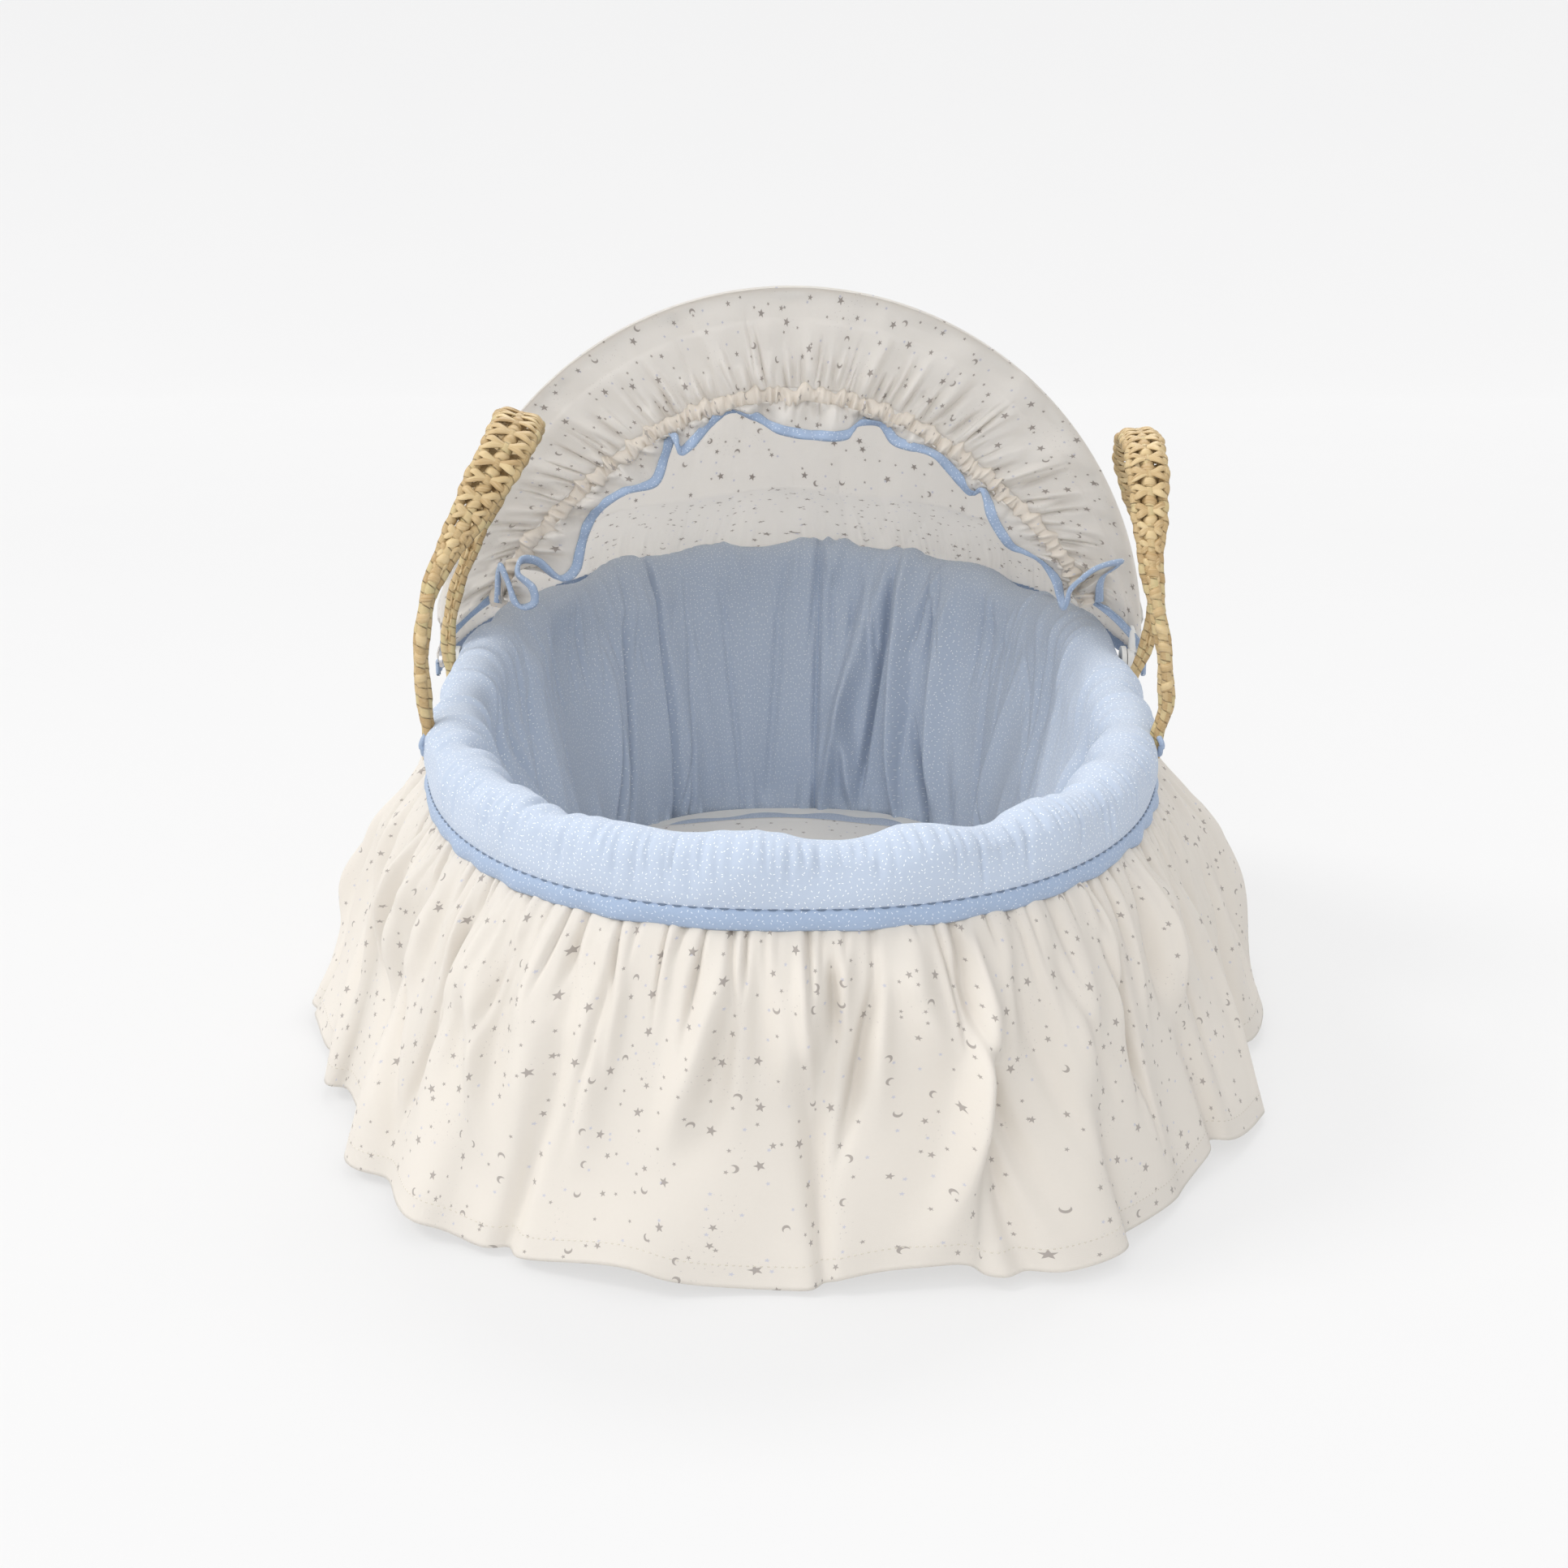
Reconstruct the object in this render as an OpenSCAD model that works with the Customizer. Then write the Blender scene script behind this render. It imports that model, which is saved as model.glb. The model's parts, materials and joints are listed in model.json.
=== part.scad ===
// Moses basket cradle: a woven basket with a padded liner, a gathered skirt, a mattress,
// a folding hood and two carry handles. Millimetres, +Z up, +Y towards the head end.
// The origin is on the floor under the middle of the basket.

/* [Basket] */
// Half of the width along the middle of the padded rim
half_w = 232; // [225:1:240]
// Half of the length along the middle of the padded rim
half_l = 380; // [370:1:390]
// Roundness of the foot end, 2 is an ellipse
foot_n = 2.35; // [2.2:0.05:2.5]
// Roundness of the head end, 2 is an ellipse
head_n = 2.6; // [2.5:0.05:2.7]
// Height of the padded rim at the sides
rim_h = 242; // [240:1:244]
// How much the rim rises to the head end
head_rise = 34; // [30:1:36]
// How much the rim drops to the foot end
foot_drop = 8; // [6:1:10]
// Thickness of the woven wall
wall_t = 7; // [6:0.5:7]
// How far the wall leans in from the rim to the floor
wall_lean = 37; // [34:1:38]

/* [Mattress] */
// Height of the top of the mattress cover
mattress_top = 57; // [54:1:58]
// Half of the width of the mattress
mattress_half_w = 176; // [172:1:177]
// Half of the length of the mattress
mattress_half_l = 324; // [320:1:325]
// Where the coverlet ends towards the head
coverlet_end = 260; // [240:1:270]

/* [Skirt] */
// Half of the width at the hem
hem_half_w = 345; // [335:1:355]
// Half of the length at the hem
hem_half_l = 470; // [460:1:480]
// Height of the hem above the floor
hem_z = 6; // [4:1:10]
// Number of folds round the skirt, a multiple of four
skirt_folds = 24; // [16:4:24]
// Depth of the folds at the hem
fold_depth = 16; // [8:1:18]

/* [Hood] */
// Distance of the hood's pivots from the middle, towards the head
hood_y = 80; // [78:1:82]
// Height of the hood's pivots
hood_pivot_z = 238; // [236:1:240]
// Radius of the hoop's half circle
hoop_r = 256; // [256:1:258]
// Straight length from the pivot to the half circle
hoop_leg = 12; // [11:1:13]
// Width of the gathered facing in the hoop's plane
facing_w = 71; // [65:1:75]
// Width of the ruffle inside the facing
ruffle_w = 24; // [20:1:26]

/* [Handles] */
// Height of the handles above their pivots
handle_h = 206; // [200:1:220]
// Half of the distance between a handle's feet
handle_span = 90; // [85:1:95]
// Radius of the middle cord
cord_r = 4.5; // [4:0.5:5]
// How far the left handle leans in
left_lean = 16; // [0:1:16]
// How far the right handle leans in
right_lean = 4; // [0:1:16]

/* [Hidden] */
$fn = 48;
blue = [0.69, 0.77, 0.88];
cream = [0.94, 0.91, 0.87];
straw = [0.80, 0.72, 0.52];

// Half thickness of the padded roll outwards and inwards from the middle of the rim
roll_out = 16;
roll_in = 17;
// Depths below the crest of the roll
roll_depth = 26;
band_depth = 38;
edge_depth = 48;
// Steps round a ring
ring_steps = 72;
// Seams of the liner, as angles round the plan
seam_right = 86;
seam_left = 121;
seam_foot_left = 230;
seam_foot_right = 310;
// Where the skirt is joined, and the gap left at each join
skirt_seam = 45;
skirt_gap = 0.15;
// Steel of the hoop, and its pivots
hoop_tube = 3.5;
pin_r = 3;
bracket_x = 247;
bracket_t = 3.5;
eyelet_x = 251.5;
eyelet_t = 5;
eyelet_r = 8;
// Cloth panels of the hood
cloth_t = 1.8;
front_cloth_r = hoop_r + hoop_tube + 0.4;
rear_cloth_r = front_cloth_r + cloth_t + 1;
front_trail = 61;
rear_lead = 66;
facing_low = 262;
ring_mid_z = hood_pivot_z + hoop_leg;
facing_in_r = hoop_r - hoop_tube - 0.5 - facing_w;
// Handles: the middle of the hinge line, and how much it is turned to follow the rim
handle_x = 247.5;
handle_y = -45;
handle_z = 224;
handle_skew = 2.64;
foot_r = 5.5;
foot_len = 24;
knuckle_gap = 7.5;
knuckle_t = 4;
knuckle_r = 8.5;
side_cord_r = 3.4;
side_cord_gap = 8.6;
handle_n = 2.6;
bow_out = 7;
bow_h = 25;

function signed_pow(v, e) = sign(v) * pow(abs(v), e);
// A point of the plan at angle t, moved out by dx across and dy along
function plan(t, dx, dy) =
  let (n = sin(t) < 0 ? foot_n : head_n)
  [(half_w + dx) * signed_pow(cos(t), 2 / n), (half_l + dy) * signed_pow(sin(t), 2 / n)];
function crest(y) =
  rim_h + head_rise * pow(max(0, y) / half_l, 2) - foot_drop * pow(max(0, -y) / half_l, 2);
function crest_at(t) = crest(plan(t, 0, 0)[1]);
// A point that is moved out by off and stands at k times the crest's height plus z
function ring_point(t, off, k, z) =
  let (p = plan(t, off, off))
  [p[0], p[1], k * crest_at(t) + z];
function steps(a, b, n) = [for (i = [0:n]) a + (b - a) * i / n];
function mix(a, b, s) = a + (b - a) * s;

function quad(a, b, c, d) = [[a, b, c], [a, c, d]];
function flat(list) = [for (part = list) for (item = part) item];

// A closed sheet between two grids of points, outer first, rows from the top down
module shell(outer, inner, closed = false) {
  rows = len(outer);
  cols = len(outer[0]);
  last = closed ? cols - 1 : cols - 2;
  a = function (i, j) i * cols + j % cols;
  b = function (i, j) rows * cols + i * cols + j % cols;
  faces = flat([
    for (j = [0:last]) each [
      for (i = [0:rows - 2]) quad(a(i, j), a(i, j + 1), a(i + 1, j + 1), a(i + 1, j)),
      for (i = [0:rows - 2]) quad(b(i, j), b(i + 1, j), b(i + 1, j + 1), b(i, j + 1)),
      quad(a(0, j), b(0, j), b(0, j + 1), a(0, j + 1)),
      quad(a(rows - 1, j), a(rows - 1, j + 1), b(rows - 1, j + 1), b(rows - 1, j))
    ],
    if (!closed) for (i = [0:rows - 2]) each [
      quad(b(i, 0), a(i, 0), a(i + 1, 0), b(i + 1, 0)),
      quad(a(i, cols - 1), b(i, cols - 1), b(i + 1, cols - 1), a(i + 1, cols - 1))
    ]
  ]);
  polyhedron(points = concat(flat(outer), flat(inner)), faces = faces);
}

// A ring all round the plan; each profile point is [off, k, z], counter-clockwise
module ring(profile) {
  m = len(profile);
  points = [
    for (i = [0:ring_steps - 1]) for (p = profile)
      ring_point(i * 360 / ring_steps, p[0], p[1], p[2])
  ];
  at = function (i, j) (i % ring_steps) * m + j % m;
  faces = flat([
    for (i = [0:ring_steps - 1]) for (j = [0:m - 1])
      quad(at(i, j), at(i, j + 1), at(i + 1, j + 1), at(i + 1, j))
  ]);
  polyhedron(points = points, faces = faces);
}

// A round cord along a path that runs mostly in the YZ plane
module cord(path, r) {
  sides = 8;
  n = len(path);
  tangent = function (i) path[min(n - 1, i + 1)] - path[max(0, i - 1)];
  points = [
    for (i = [0:n - 1]) for (k = [0:sides - 1])
      let (
        along = tangent(i) / norm(tangent(i)),
        across = cross(along, [1, 0, 0]),
        a = k * 360 / sides
      )
      path[i] + r * (cos(a) * [1, 0, 0] - sin(a) * across)
  ];
  at = function (i, k) i * sides + k % sides;
  faces = concat(
    flat([
      for (i = [0:n - 2]) for (k = [0:sides - 1])
        quad(at(i, k), at(i, k + 1), at(i + 1, k + 1), at(i + 1, k))
    ]),
    [[for (k = [sides - 1:-1:0]) at(0, k)]],
    [[for (k = [0:sides - 1]) at(n - 1, k)]]
  );
  polyhedron(points = points, faces = faces);
}

// A flat plate with the outline of the plan, shrunk to the given half width and length
module plate(w, l, h) {
  outline = [for (t = steps(0, 355, 71)) plan(t, w - half_w, l - half_l)];
  linear_extrude(h) polygon(outline);
}

/* Basket */

// Offset of the outer face of the woven wall at a share s of the height
function wall_off(s) = -5 - wall_lean * (1 - s);

module basket_base() {
  color(straw) plate(half_w - 5 - wall_lean, half_l - 5 - wall_lean, 8);
}

module basket_wall() {
  low = 8.2;
  color(straw)
    ring([
      [wall_off(0) - wall_t, 0, low],
      [wall_off(0), 0, low],
      [wall_off(0.6), 0.6, -6],
      [wall_off(1), 1, -20],
      [wall_off(1) - wall_t, 1, -20],
      [wall_off(0.6) - wall_t, 0.6, -6]
    ]);
}

module basket_rim() {
  r = 5;
  color(straw)
    ring([for (k = [0:7]) [-10 + r * cos(k * 45), 1, -14.5 + r * sin(k * 45)]]);
}

module base_board() {
  color([0.72, 0.6, 0.45]) translate([0, 0, 8.2]) plate(mattress_half_w - 4, mattress_half_l - 4, 4);
}

/* Mattress */

module mattress_core() {
  cover = 2;
  color([0.97, 0.97, 0.95])
    translate([0, 0, 12.5])
      plate(mattress_half_w - cover - 0.3, mattress_half_l - cover - 0.3, mattress_top - cover - 12.8);
}

module mattress_cover() {
  cover = 2;
  color(blue)
    difference() {
      translate([0, 0, 12.5]) plate(mattress_half_w, mattress_half_l, mattress_top - 12.5);
      translate([0, 0, 12.4])
        plate(mattress_half_w - cover, mattress_half_l - cover, mattress_top - cover - 12.4);
    }
}

module coverlet() {
  color(cream)
    intersection() {
      translate([0, 0, mattress_top + 0.3]) plate(mattress_half_w - 1, mattress_half_l - 1, 4);
      translate([-half_w, coverlet_end - 2 * half_l, 0]) cube([2 * half_w, 2 * half_l, rim_h]);
    }
}

/* Liner */

liner_levels = [[1, -34.5], [0.75, -20], [0.5, -5], [0.25, 6], [0, 16]];
function liner_share(level) = (level[0] * rim_h + level[1] + 20 - 28 * (1 - level[0])) / rim_h;

module liner_panel(a, b) {
  gap = 0.3;
  padding = 10;
  cols = steps(a + 0.1, b - 0.1, max(8, round((b - a) / 5)));
  face = function (depth) [
    for (level = liner_levels)
      [for (t = cols) ring_point(t, wall_off(liner_share(level)) - wall_t - gap - depth, level[0], level[1])]
  ];
  color(blue) shell(face(0), face(padding));
}

module liner_right() {
  liner_panel(seam_foot_right - 360, seam_right);
}

module liner_head() {
  liner_panel(seam_right, seam_left);
}

module liner_left() {
  liner_panel(seam_left, seam_foot_left);
}

module liner_foot() {
  liner_panel(seam_foot_left, seam_foot_right);
}

module liner_roll() {
  slot_in = -16.5;
  slot_out = -3;
  slot_top = -8;
  color(blue)
    difference() {
      ring([
        [slot_out, 1, -roll_depth],
        [roll_out - 2, 1, -roll_depth],
        [roll_out, 1, -17],
        [roll_out - 1, 1, -9],
        [roll_out - 7, 1, -2.5],
        [0, 1, 0],
        [-9, 1, -2],
        [-17, 1, -7],
        [-roll_in - 5, 1, -17],
        [-roll_in - 4, 1, -34],
        [slot_in, 1, -34],
        [slot_in, 1, slot_top],
        [slot_out, 1, slot_top]
      ]);
      handle_slots();
    }
}

module liner_band() {
  color(blue)
    difference() {
      ring([
        [12, 1, -band_depth],
        [15.5, 1, -band_depth],
        [15.5, 1, -roll_depth - 0.3],
        [12, 1, -roll_depth - 0.3]
      ]);
      handle_slots();
    }
}

module liner_edge() {
  color(blue * 0.95)
    ring([
      [12.5, 1, -edge_depth],
      [15, 1, -edge_depth],
      [15, 1, -band_depth - 0.3],
      [12.5, 1, -band_depth - 0.3]
    ]);
}

/* Skirt */

function skirt_point(t, s, depth) =
  let (
    fold = fold_depth * s * (1 - cos(skirt_folds * t)) / 2,
    spread = pow(s, 0.85),
    dx = mix(11.5, hem_half_w - half_w, spread) - fold - depth,
    dy = mix(11.5, hem_half_l - half_l, spread) - fold - depth,
    p = plan(t, dx, dy)
  )
  [p[0], p[1], mix(crest_at(t) - band_depth - 1, hem_z, s)];

skirt_levels = [0, 0.06, 0.3, 0.6, 1];

module skirt_panel(a, b) {
  cols = steps(a + skirt_gap, b - skirt_gap, 48);
  face = function (depth) [for (s = skirt_levels) [for (t = cols) skirt_point(t, s, depth)]];
  color(cream) shell(face(0), face(2.5));
}

module skirt_right() {
  skirt_panel(-skirt_seam, skirt_seam);
}

module skirt_head() {
  skirt_panel(skirt_seam, 180 - skirt_seam);
}

module skirt_left() {
  skirt_panel(180 - skirt_seam, 180 + skirt_seam);
}

module skirt_foot() {
  skirt_panel(180 + skirt_seam, 360 - skirt_seam);
}

// The hem is turned up inside the skirt
module skirt_hem() {
  cols = [for (i = [0:191]) i * 360 / 192];
  face = function (depth) [for (s = [0.955, 1]) [for (t = cols) skirt_point(t, s, depth)]];
  color(cream * 0.97) shell(face(2.8), face(4.2), closed = true);
}

// The tape that the skirt's gathers are sewn to
module skirt_tape() {
  color([0.9, 0.9, 0.9])
    ring([
      [5, 1, -edge_depth],
      [8, 1, -edge_depth],
      [8, 1, -band_depth - 1],
      [5, 1, -band_depth - 1]
    ]);
}

/* Handles */

// Puts a piece at a handle's hinge line, with local X pointing out of the basket
module on_side(side, lean) {
  translate([side * handle_x, handle_y, handle_z])
    mirror([side < 0 ? 1 : 0, 0, 0])
      rotate([0, 0, -handle_skew])
        rotate([0, -lean, 0])
          children();
}

module handle_slots() {
  for (side = [-1, 1])
    on_side(side, 0)
      for (end = [-1, 1])
        translate([-19, end * handle_span - 14, -11]) cube([40, 28, 23]);
}

module anchor(side, end) {
  color(straw)
    on_side(side, 0)
      translate([0, end * handle_span, 0])
        difference() {
          union() {
            for (knuckle = [-knuckle_gap - knuckle_t, knuckle_gap])
              translate([0, knuckle, 0]) rotate([-90, 0, 0]) cylinder(r = knuckle_r, h = knuckle_t);
            translate([-33, -knuckle_gap - knuckle_t, -8])
              cube([26.8, 2 * (knuckle_gap + knuckle_t), 5]);
          }
          translate([0, -20, 0]) rotate([-90, 0, 0]) cylinder(r = foot_r + 0.05, h = 40);
        }
}

module anchor_left_foot() {
  anchor(-1, -1);
}

module anchor_left_head() {
  anchor(-1, 1);
}

module anchor_right_foot() {
  anchor(1, -1);
}

module anchor_right_head() {
  anchor(1, 1);
}

// A point of the handle's arch at angle t, 0 at the foot end and 180 at the head end
function handle_point(t, side_step) =
  let (
    h = handle_h * signed_pow(sin(t), 2 / handle_n),
    u = -handle_span * signed_pow(cos(t), 2 / handle_n)
  )
  [bow_out * h / bow_h * exp(1 - h / bow_h) + side_step, u, h];

function handle_lean(side) = side < 0 ? left_lean : right_lean;

module handle_cord(side) {
  color(straw)
    on_side(side, handle_lean(side))
      cord([for (t = steps(0, 180, 44)) handle_point(t, 0)], cord_r);
}

module handle_side_cords(side) {
  color(straw)
    on_side(side, handle_lean(side))
      for (step = [-side_cord_gap, side_cord_gap])
        cord([for (t = steps(18, 162, 32)) handle_point(t, step)], side_cord_r);
}

module handle_ties(side) {
  color(straw * 0.9)
    on_side(side, handle_lean(side))
      for (t = [20:14:160])
        translate(handle_point(t, 0)) rotate([0, 90, 0]) cylinder(r = 2.2, h = 2 * side_cord_gap + 4, center = true);
}

module handle_feet(side) {
  color(straw * 0.95)
    on_side(side, handle_lean(side))
      for (end = [-1, 1])
        translate([0, end * handle_span, 0])
          rotate([90, 0, 0])
            cylinder(r = foot_r, h = foot_len, center = true);
}

module handle_left_cord() {
  handle_cord(-1);
}

module handle_left_side_cords() {
  handle_side_cords(-1);
}

module handle_left_ties() {
  handle_ties(-1);
}

module handle_left_feet() {
  handle_feet(-1);
}

module handle_right_cord() {
  handle_cord(1);
}

module handle_right_side_cords() {
  handle_side_cords(1);
}

module handle_right_ties() {
  handle_ties(1);
}

module handle_right_feet() {
  handle_feet(1);
}

/* Hood */

// Puts a piece at the pivots' line, with local Z along it to the given side
module on_pivot(side, x) {
  translate([side * x, hood_y, hood_pivot_z]) rotate([0, side * 90, 0]) children();
}

module hood_bracket(side) {
  width = 20;
  drop = 34;
  color([0.93, 0.93, 0.9])
    difference() {
      union() {
        on_pivot(side, bracket_x) cylinder(r = width / 2, h = bracket_t);
        translate([side * (bracket_x + bracket_t / 2), hood_y, hood_pivot_z - drop / 2])
          cube([bracket_t, width, drop], center = true);
      }
      on_pivot(side, bracket_x - 1) cylinder(r = pin_r, h = bracket_t + 2);
    }
}

module hood_bracket_left() {
  hood_bracket(-1);
}

module hood_bracket_right() {
  hood_bracket(1);
}

module hood_pin(side) {
  head_x = hoop_r + hoop_tube + 0.7;
  color([0.75, 0.75, 0.77]) {
    on_pivot(side, bracket_x) cylinder(r = pin_r, h = head_x + 1 - bracket_x);
    on_pivot(side, head_x) cylinder(r = 6, h = 2.3);
  }
}

module hood_pin_left() {
  hood_pin(-1);
}

module hood_pin_right() {
  hood_pin(1);
}

// Rivets hold the brackets to the woven wall through the liner's band
module hood_rivets() {
  color([0.75, 0.75, 0.77])
    for (side = [-1, 1], step = [-6, 6])
      translate([side * 221, hood_y + step, hood_pivot_z - 27])
        rotate([0, side * 90, 0])
          cylinder(r = 2, h = bracket_x + bracket_t + 1 - 221);
}

module hood_hoop() {
  color([0.9, 0.9, 0.9])
    difference() {
      union() {
        translate([0, hood_y, ring_mid_z])
          rotate([90, 0, 0])
            rotate_extrude(angle = 180, $fn = 96) translate([hoop_r, 0]) circle(r = hoop_tube);
        for (side = [-1, 1]) {
          translate([side * hoop_r, hood_y, hood_pivot_z + 6]) cylinder(r = hoop_tube, h = hoop_leg - 6);
          on_pivot(side, eyelet_x) cylinder(r = eyelet_r, h = eyelet_t);
        }
      }
      for (side = [-1, 1])
        on_pivot(side, eyelet_x - 4) cylinder(r = pin_r + 0.05, h = eyelet_t + 12);
    }
}

// The front cloth is a surface of revolution about the pivots, so it folds inside the rear cloth
module hood_front() {
  low = 9;
  arch = function (r, a, b) [for (s = steps(a, b, 30)) [hoop_leg + r * sin(s), r * cos(s)]];
  profile = concat(arch(front_cloth_r + cloth_t, low, 180 - low), arch(front_cloth_r, 180 - low, low));
  color(cream)
    translate([0, hood_y, hood_pivot_z])
      rotate([0, 90, 0])
        rotate([0, 0, 90 + front_trail])
          rotate_extrude(angle = 91 - front_trail, $fn = 96) polygon(profile);
}

module hood_half_ring(r_out, r_in, t) {
  translate([0, hood_y + t / 2, ring_mid_z])
    rotate([90, 0, 0])
      linear_extrude(t)
        difference() {
          circle(r = r_out, $fn = 96);
          circle(r = r_in, $fn = 96);
          translate([-r_out - 1, -2 * r_out + facing_low - ring_mid_z]) square([2 * r_out + 2, 2 * r_out]);
        }
}

module hood_facing() {
  color(cream) hood_half_ring(hoop_r - hoop_tube - 0.5, facing_in_r, 3);
}

module hood_elastic() {
  color(cream * 0.95) hood_half_ring(facing_in_r - 0.3, facing_in_r - 5.3, 5);
}

module hood_ruffle() {
  color(cream) hood_half_ring(facing_in_r - 5.6, facing_in_r - ruffle_w, 3);
}

module ruffle_binding() {
  color(blue) hood_half_ring(facing_in_r - ruffle_w - 0.3, facing_in_r - ruffle_w - 4.3, 4);
}

// Offset of the hood's lower edge from the middle of the rim
function hood_edge_off(t) = 18 + 16 * abs(cos(t));

function hood_rear_row(phi, low, depth) = [
  for (s = steps(low, 180 - low, 38))
    let (r = hoop_leg + (rear_cloth_r + depth) * sin(s))
    [(rear_cloth_r + depth) * cos(s), hood_y + r * cos(phi), hood_pivot_z + r * sin(phi)]
];

function hood_edge_row(low, depth, z) =
  [for (s = steps(low, 180 - low, 38)) ring_point(s, hood_edge_off(s) + depth, 1, z)];

module hood_rear() {
  low = 15;
  face = function (depth) concat(
    [for (phi = [rear_lead:-4.7:19]) hood_rear_row(phi, low, depth)],
    [
      for (s = [0.4, 0.8, 1])
        let (a = hood_rear_row(19, low, depth), b = hood_edge_row(low, depth, -8))
        [for (j = [0:len(a) - 1]) mix(a[j], b[j], s)]
    ]
  );
  color(cream) shell(face(cloth_t), face(0));
}

module hood_rear_binding() {
  low = 15;
  face = function (depth) [hood_edge_row(low, depth, -8.4), hood_edge_row(low, depth, -18)];
  color(blue) shell(face(cloth_t + 0.4), face(0));
}

basket_base();
basket_wall();
basket_rim();
base_board();
mattress_core();
mattress_cover();
coverlet();
liner_right();
liner_head();
liner_left();
liner_foot();
liner_roll();
liner_band();
liner_edge();
skirt_tape();
skirt_right();
skirt_head();
skirt_left();
skirt_foot();
skirt_hem();
anchor_left_foot();
anchor_left_head();
anchor_right_foot();
anchor_right_head();
hood_bracket_left();
hood_bracket_right();
hood_pin_left();
hood_pin_right();
hood_rivets();
hood_rear();
hood_rear_binding();
hood_hoop();
hood_front();
hood_facing();
hood_elastic();
hood_ruffle();
ruffle_binding();
handle_left_cord();
handle_left_side_cords();
handle_left_ties();
handle_left_feet();
handle_right_cord();
handle_right_side_cords();
handle_right_ties();
handle_right_feet();
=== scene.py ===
"""Moses basket cradle: the looks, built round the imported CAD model.

Metres, +Z up, +Y towards the head end, seen from the foot end. Every cloth grid runs round the
basket by u (0 to 1, counter-clockwise from the right) and across the cloth by v.
"""

import json
import math

import bpy
import numpy as np
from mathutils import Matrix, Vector


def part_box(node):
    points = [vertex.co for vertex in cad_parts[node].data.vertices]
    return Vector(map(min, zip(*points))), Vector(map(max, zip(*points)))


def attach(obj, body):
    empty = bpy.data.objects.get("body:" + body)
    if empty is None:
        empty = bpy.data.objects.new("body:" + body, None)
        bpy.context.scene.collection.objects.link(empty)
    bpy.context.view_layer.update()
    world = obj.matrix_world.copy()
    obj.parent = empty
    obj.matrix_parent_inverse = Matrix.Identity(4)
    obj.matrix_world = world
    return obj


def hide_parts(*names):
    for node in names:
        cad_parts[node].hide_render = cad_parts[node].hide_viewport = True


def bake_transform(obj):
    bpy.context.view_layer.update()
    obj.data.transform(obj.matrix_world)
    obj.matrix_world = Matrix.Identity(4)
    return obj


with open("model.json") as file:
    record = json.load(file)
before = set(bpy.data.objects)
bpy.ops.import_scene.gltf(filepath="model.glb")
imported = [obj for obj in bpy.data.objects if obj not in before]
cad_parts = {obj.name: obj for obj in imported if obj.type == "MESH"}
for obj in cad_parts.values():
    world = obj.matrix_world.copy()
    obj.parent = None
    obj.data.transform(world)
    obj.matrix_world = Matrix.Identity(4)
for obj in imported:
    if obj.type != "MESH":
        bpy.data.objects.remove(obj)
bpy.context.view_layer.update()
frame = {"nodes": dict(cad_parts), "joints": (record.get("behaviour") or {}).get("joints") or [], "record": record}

# ---------------------------------------------------------------- sizes

FOOT_N, HEAD_N = 2.35, 2.6  # roundness of the plan's ends
ROLL_OUT = 0.016  # from the middle of the rim to the roll's outer face
RIM_H, FOOT_DROP = 0.242, 0.008
BAND_DEPTH, EDGE_DEPTH = 0.038, 0.048  # below the crest
roll_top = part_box("liner_roll")[1]
HALF_W, HALF_L = roll_top.x - ROLL_OUT, roll_top.y - ROLL_OUT
HEAD_RISE = roll_top.z - RIM_H
MATTRESS_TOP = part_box("mattress_cover")[1].z
MATTRESS_W, MATTRESS_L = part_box("mattress_cover")[1].x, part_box("mattress_cover")[1].y
COVERLET_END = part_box("coverlet")[1].y
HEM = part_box("skirt_hem")[1]
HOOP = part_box("hood_hoop")[1]
HOOP_TUBE = 0.0035
HOOP_R = HOOP.x - HOOP_TUBE
JOINT_AT = {joint["name"]: joint["pos_m"] for joint in frame["joints"]}
HOOD_Y, PIVOT_Z = JOINT_AT["hood_fold"][1:]
HOOP_LEG = HOOP.z - HOOP_TUBE - HOOP_R - PIVOT_Z
FACING_HEM = 0.0085  # the width of the binding that shows on each side
EDGE_Z = -0.0085  # the hood's lower edge, below the crest


def power(value, exponent):
    return np.sign(value) * np.abs(value) ** exponent


def plan(t, dx=0.0, dy=0.0):
    """The plan's point at angle t, moved out by dx across and dy along."""
    n = np.where(np.sin(t) < 0, FOOT_N, HEAD_N)
    return (HALF_W + dx) * power(np.cos(t), 2 / n), (HALF_L + dy) * power(np.sin(t), 2 / n)


TABLE_T = np.linspace(0, 2 * np.pi, 40001)
TABLE_X, TABLE_Y = plan(TABLE_T)
TABLE_S = np.concatenate([[0], np.cumsum(np.hypot(np.diff(TABLE_X), np.diff(TABLE_Y)))])
RIM_LENGTH = TABLE_S[-1]


def angle(u):
    """The plan's angle at a share u of the way round, so that equal steps of u are equal lengths."""
    return np.interp(np.mod(u, 1.0), TABLE_S / RIM_LENGTH, TABLE_T)


def share(x, y_positive):
    """The share round at which the rim's middle line has that x, at the head or at the foot."""
    half = (TABLE_Y > 0) == y_positive
    order = np.argsort(TABLE_X[half])
    return float(np.interp(x, TABLE_X[half][order], (TABLE_S / RIM_LENGTH)[half][order]))


def crest(t):
    y = plan(t)[1] / HALF_L
    return RIM_H + HEAD_RISE * np.maximum(y, 0) ** 2 - FOOT_DROP * np.maximum(-y, 0) ** 2


def ring(u, off, k, z, dy=None):
    """Points at share u round, off from the rim's middle line, at k times the crest's height plus z."""
    t = angle(u)
    x, y = plan(t, off, off if dy is None else dy)
    return np.stack(np.broadcast_arrays(x, y, k * crest(t) + z), axis=-1)


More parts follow.
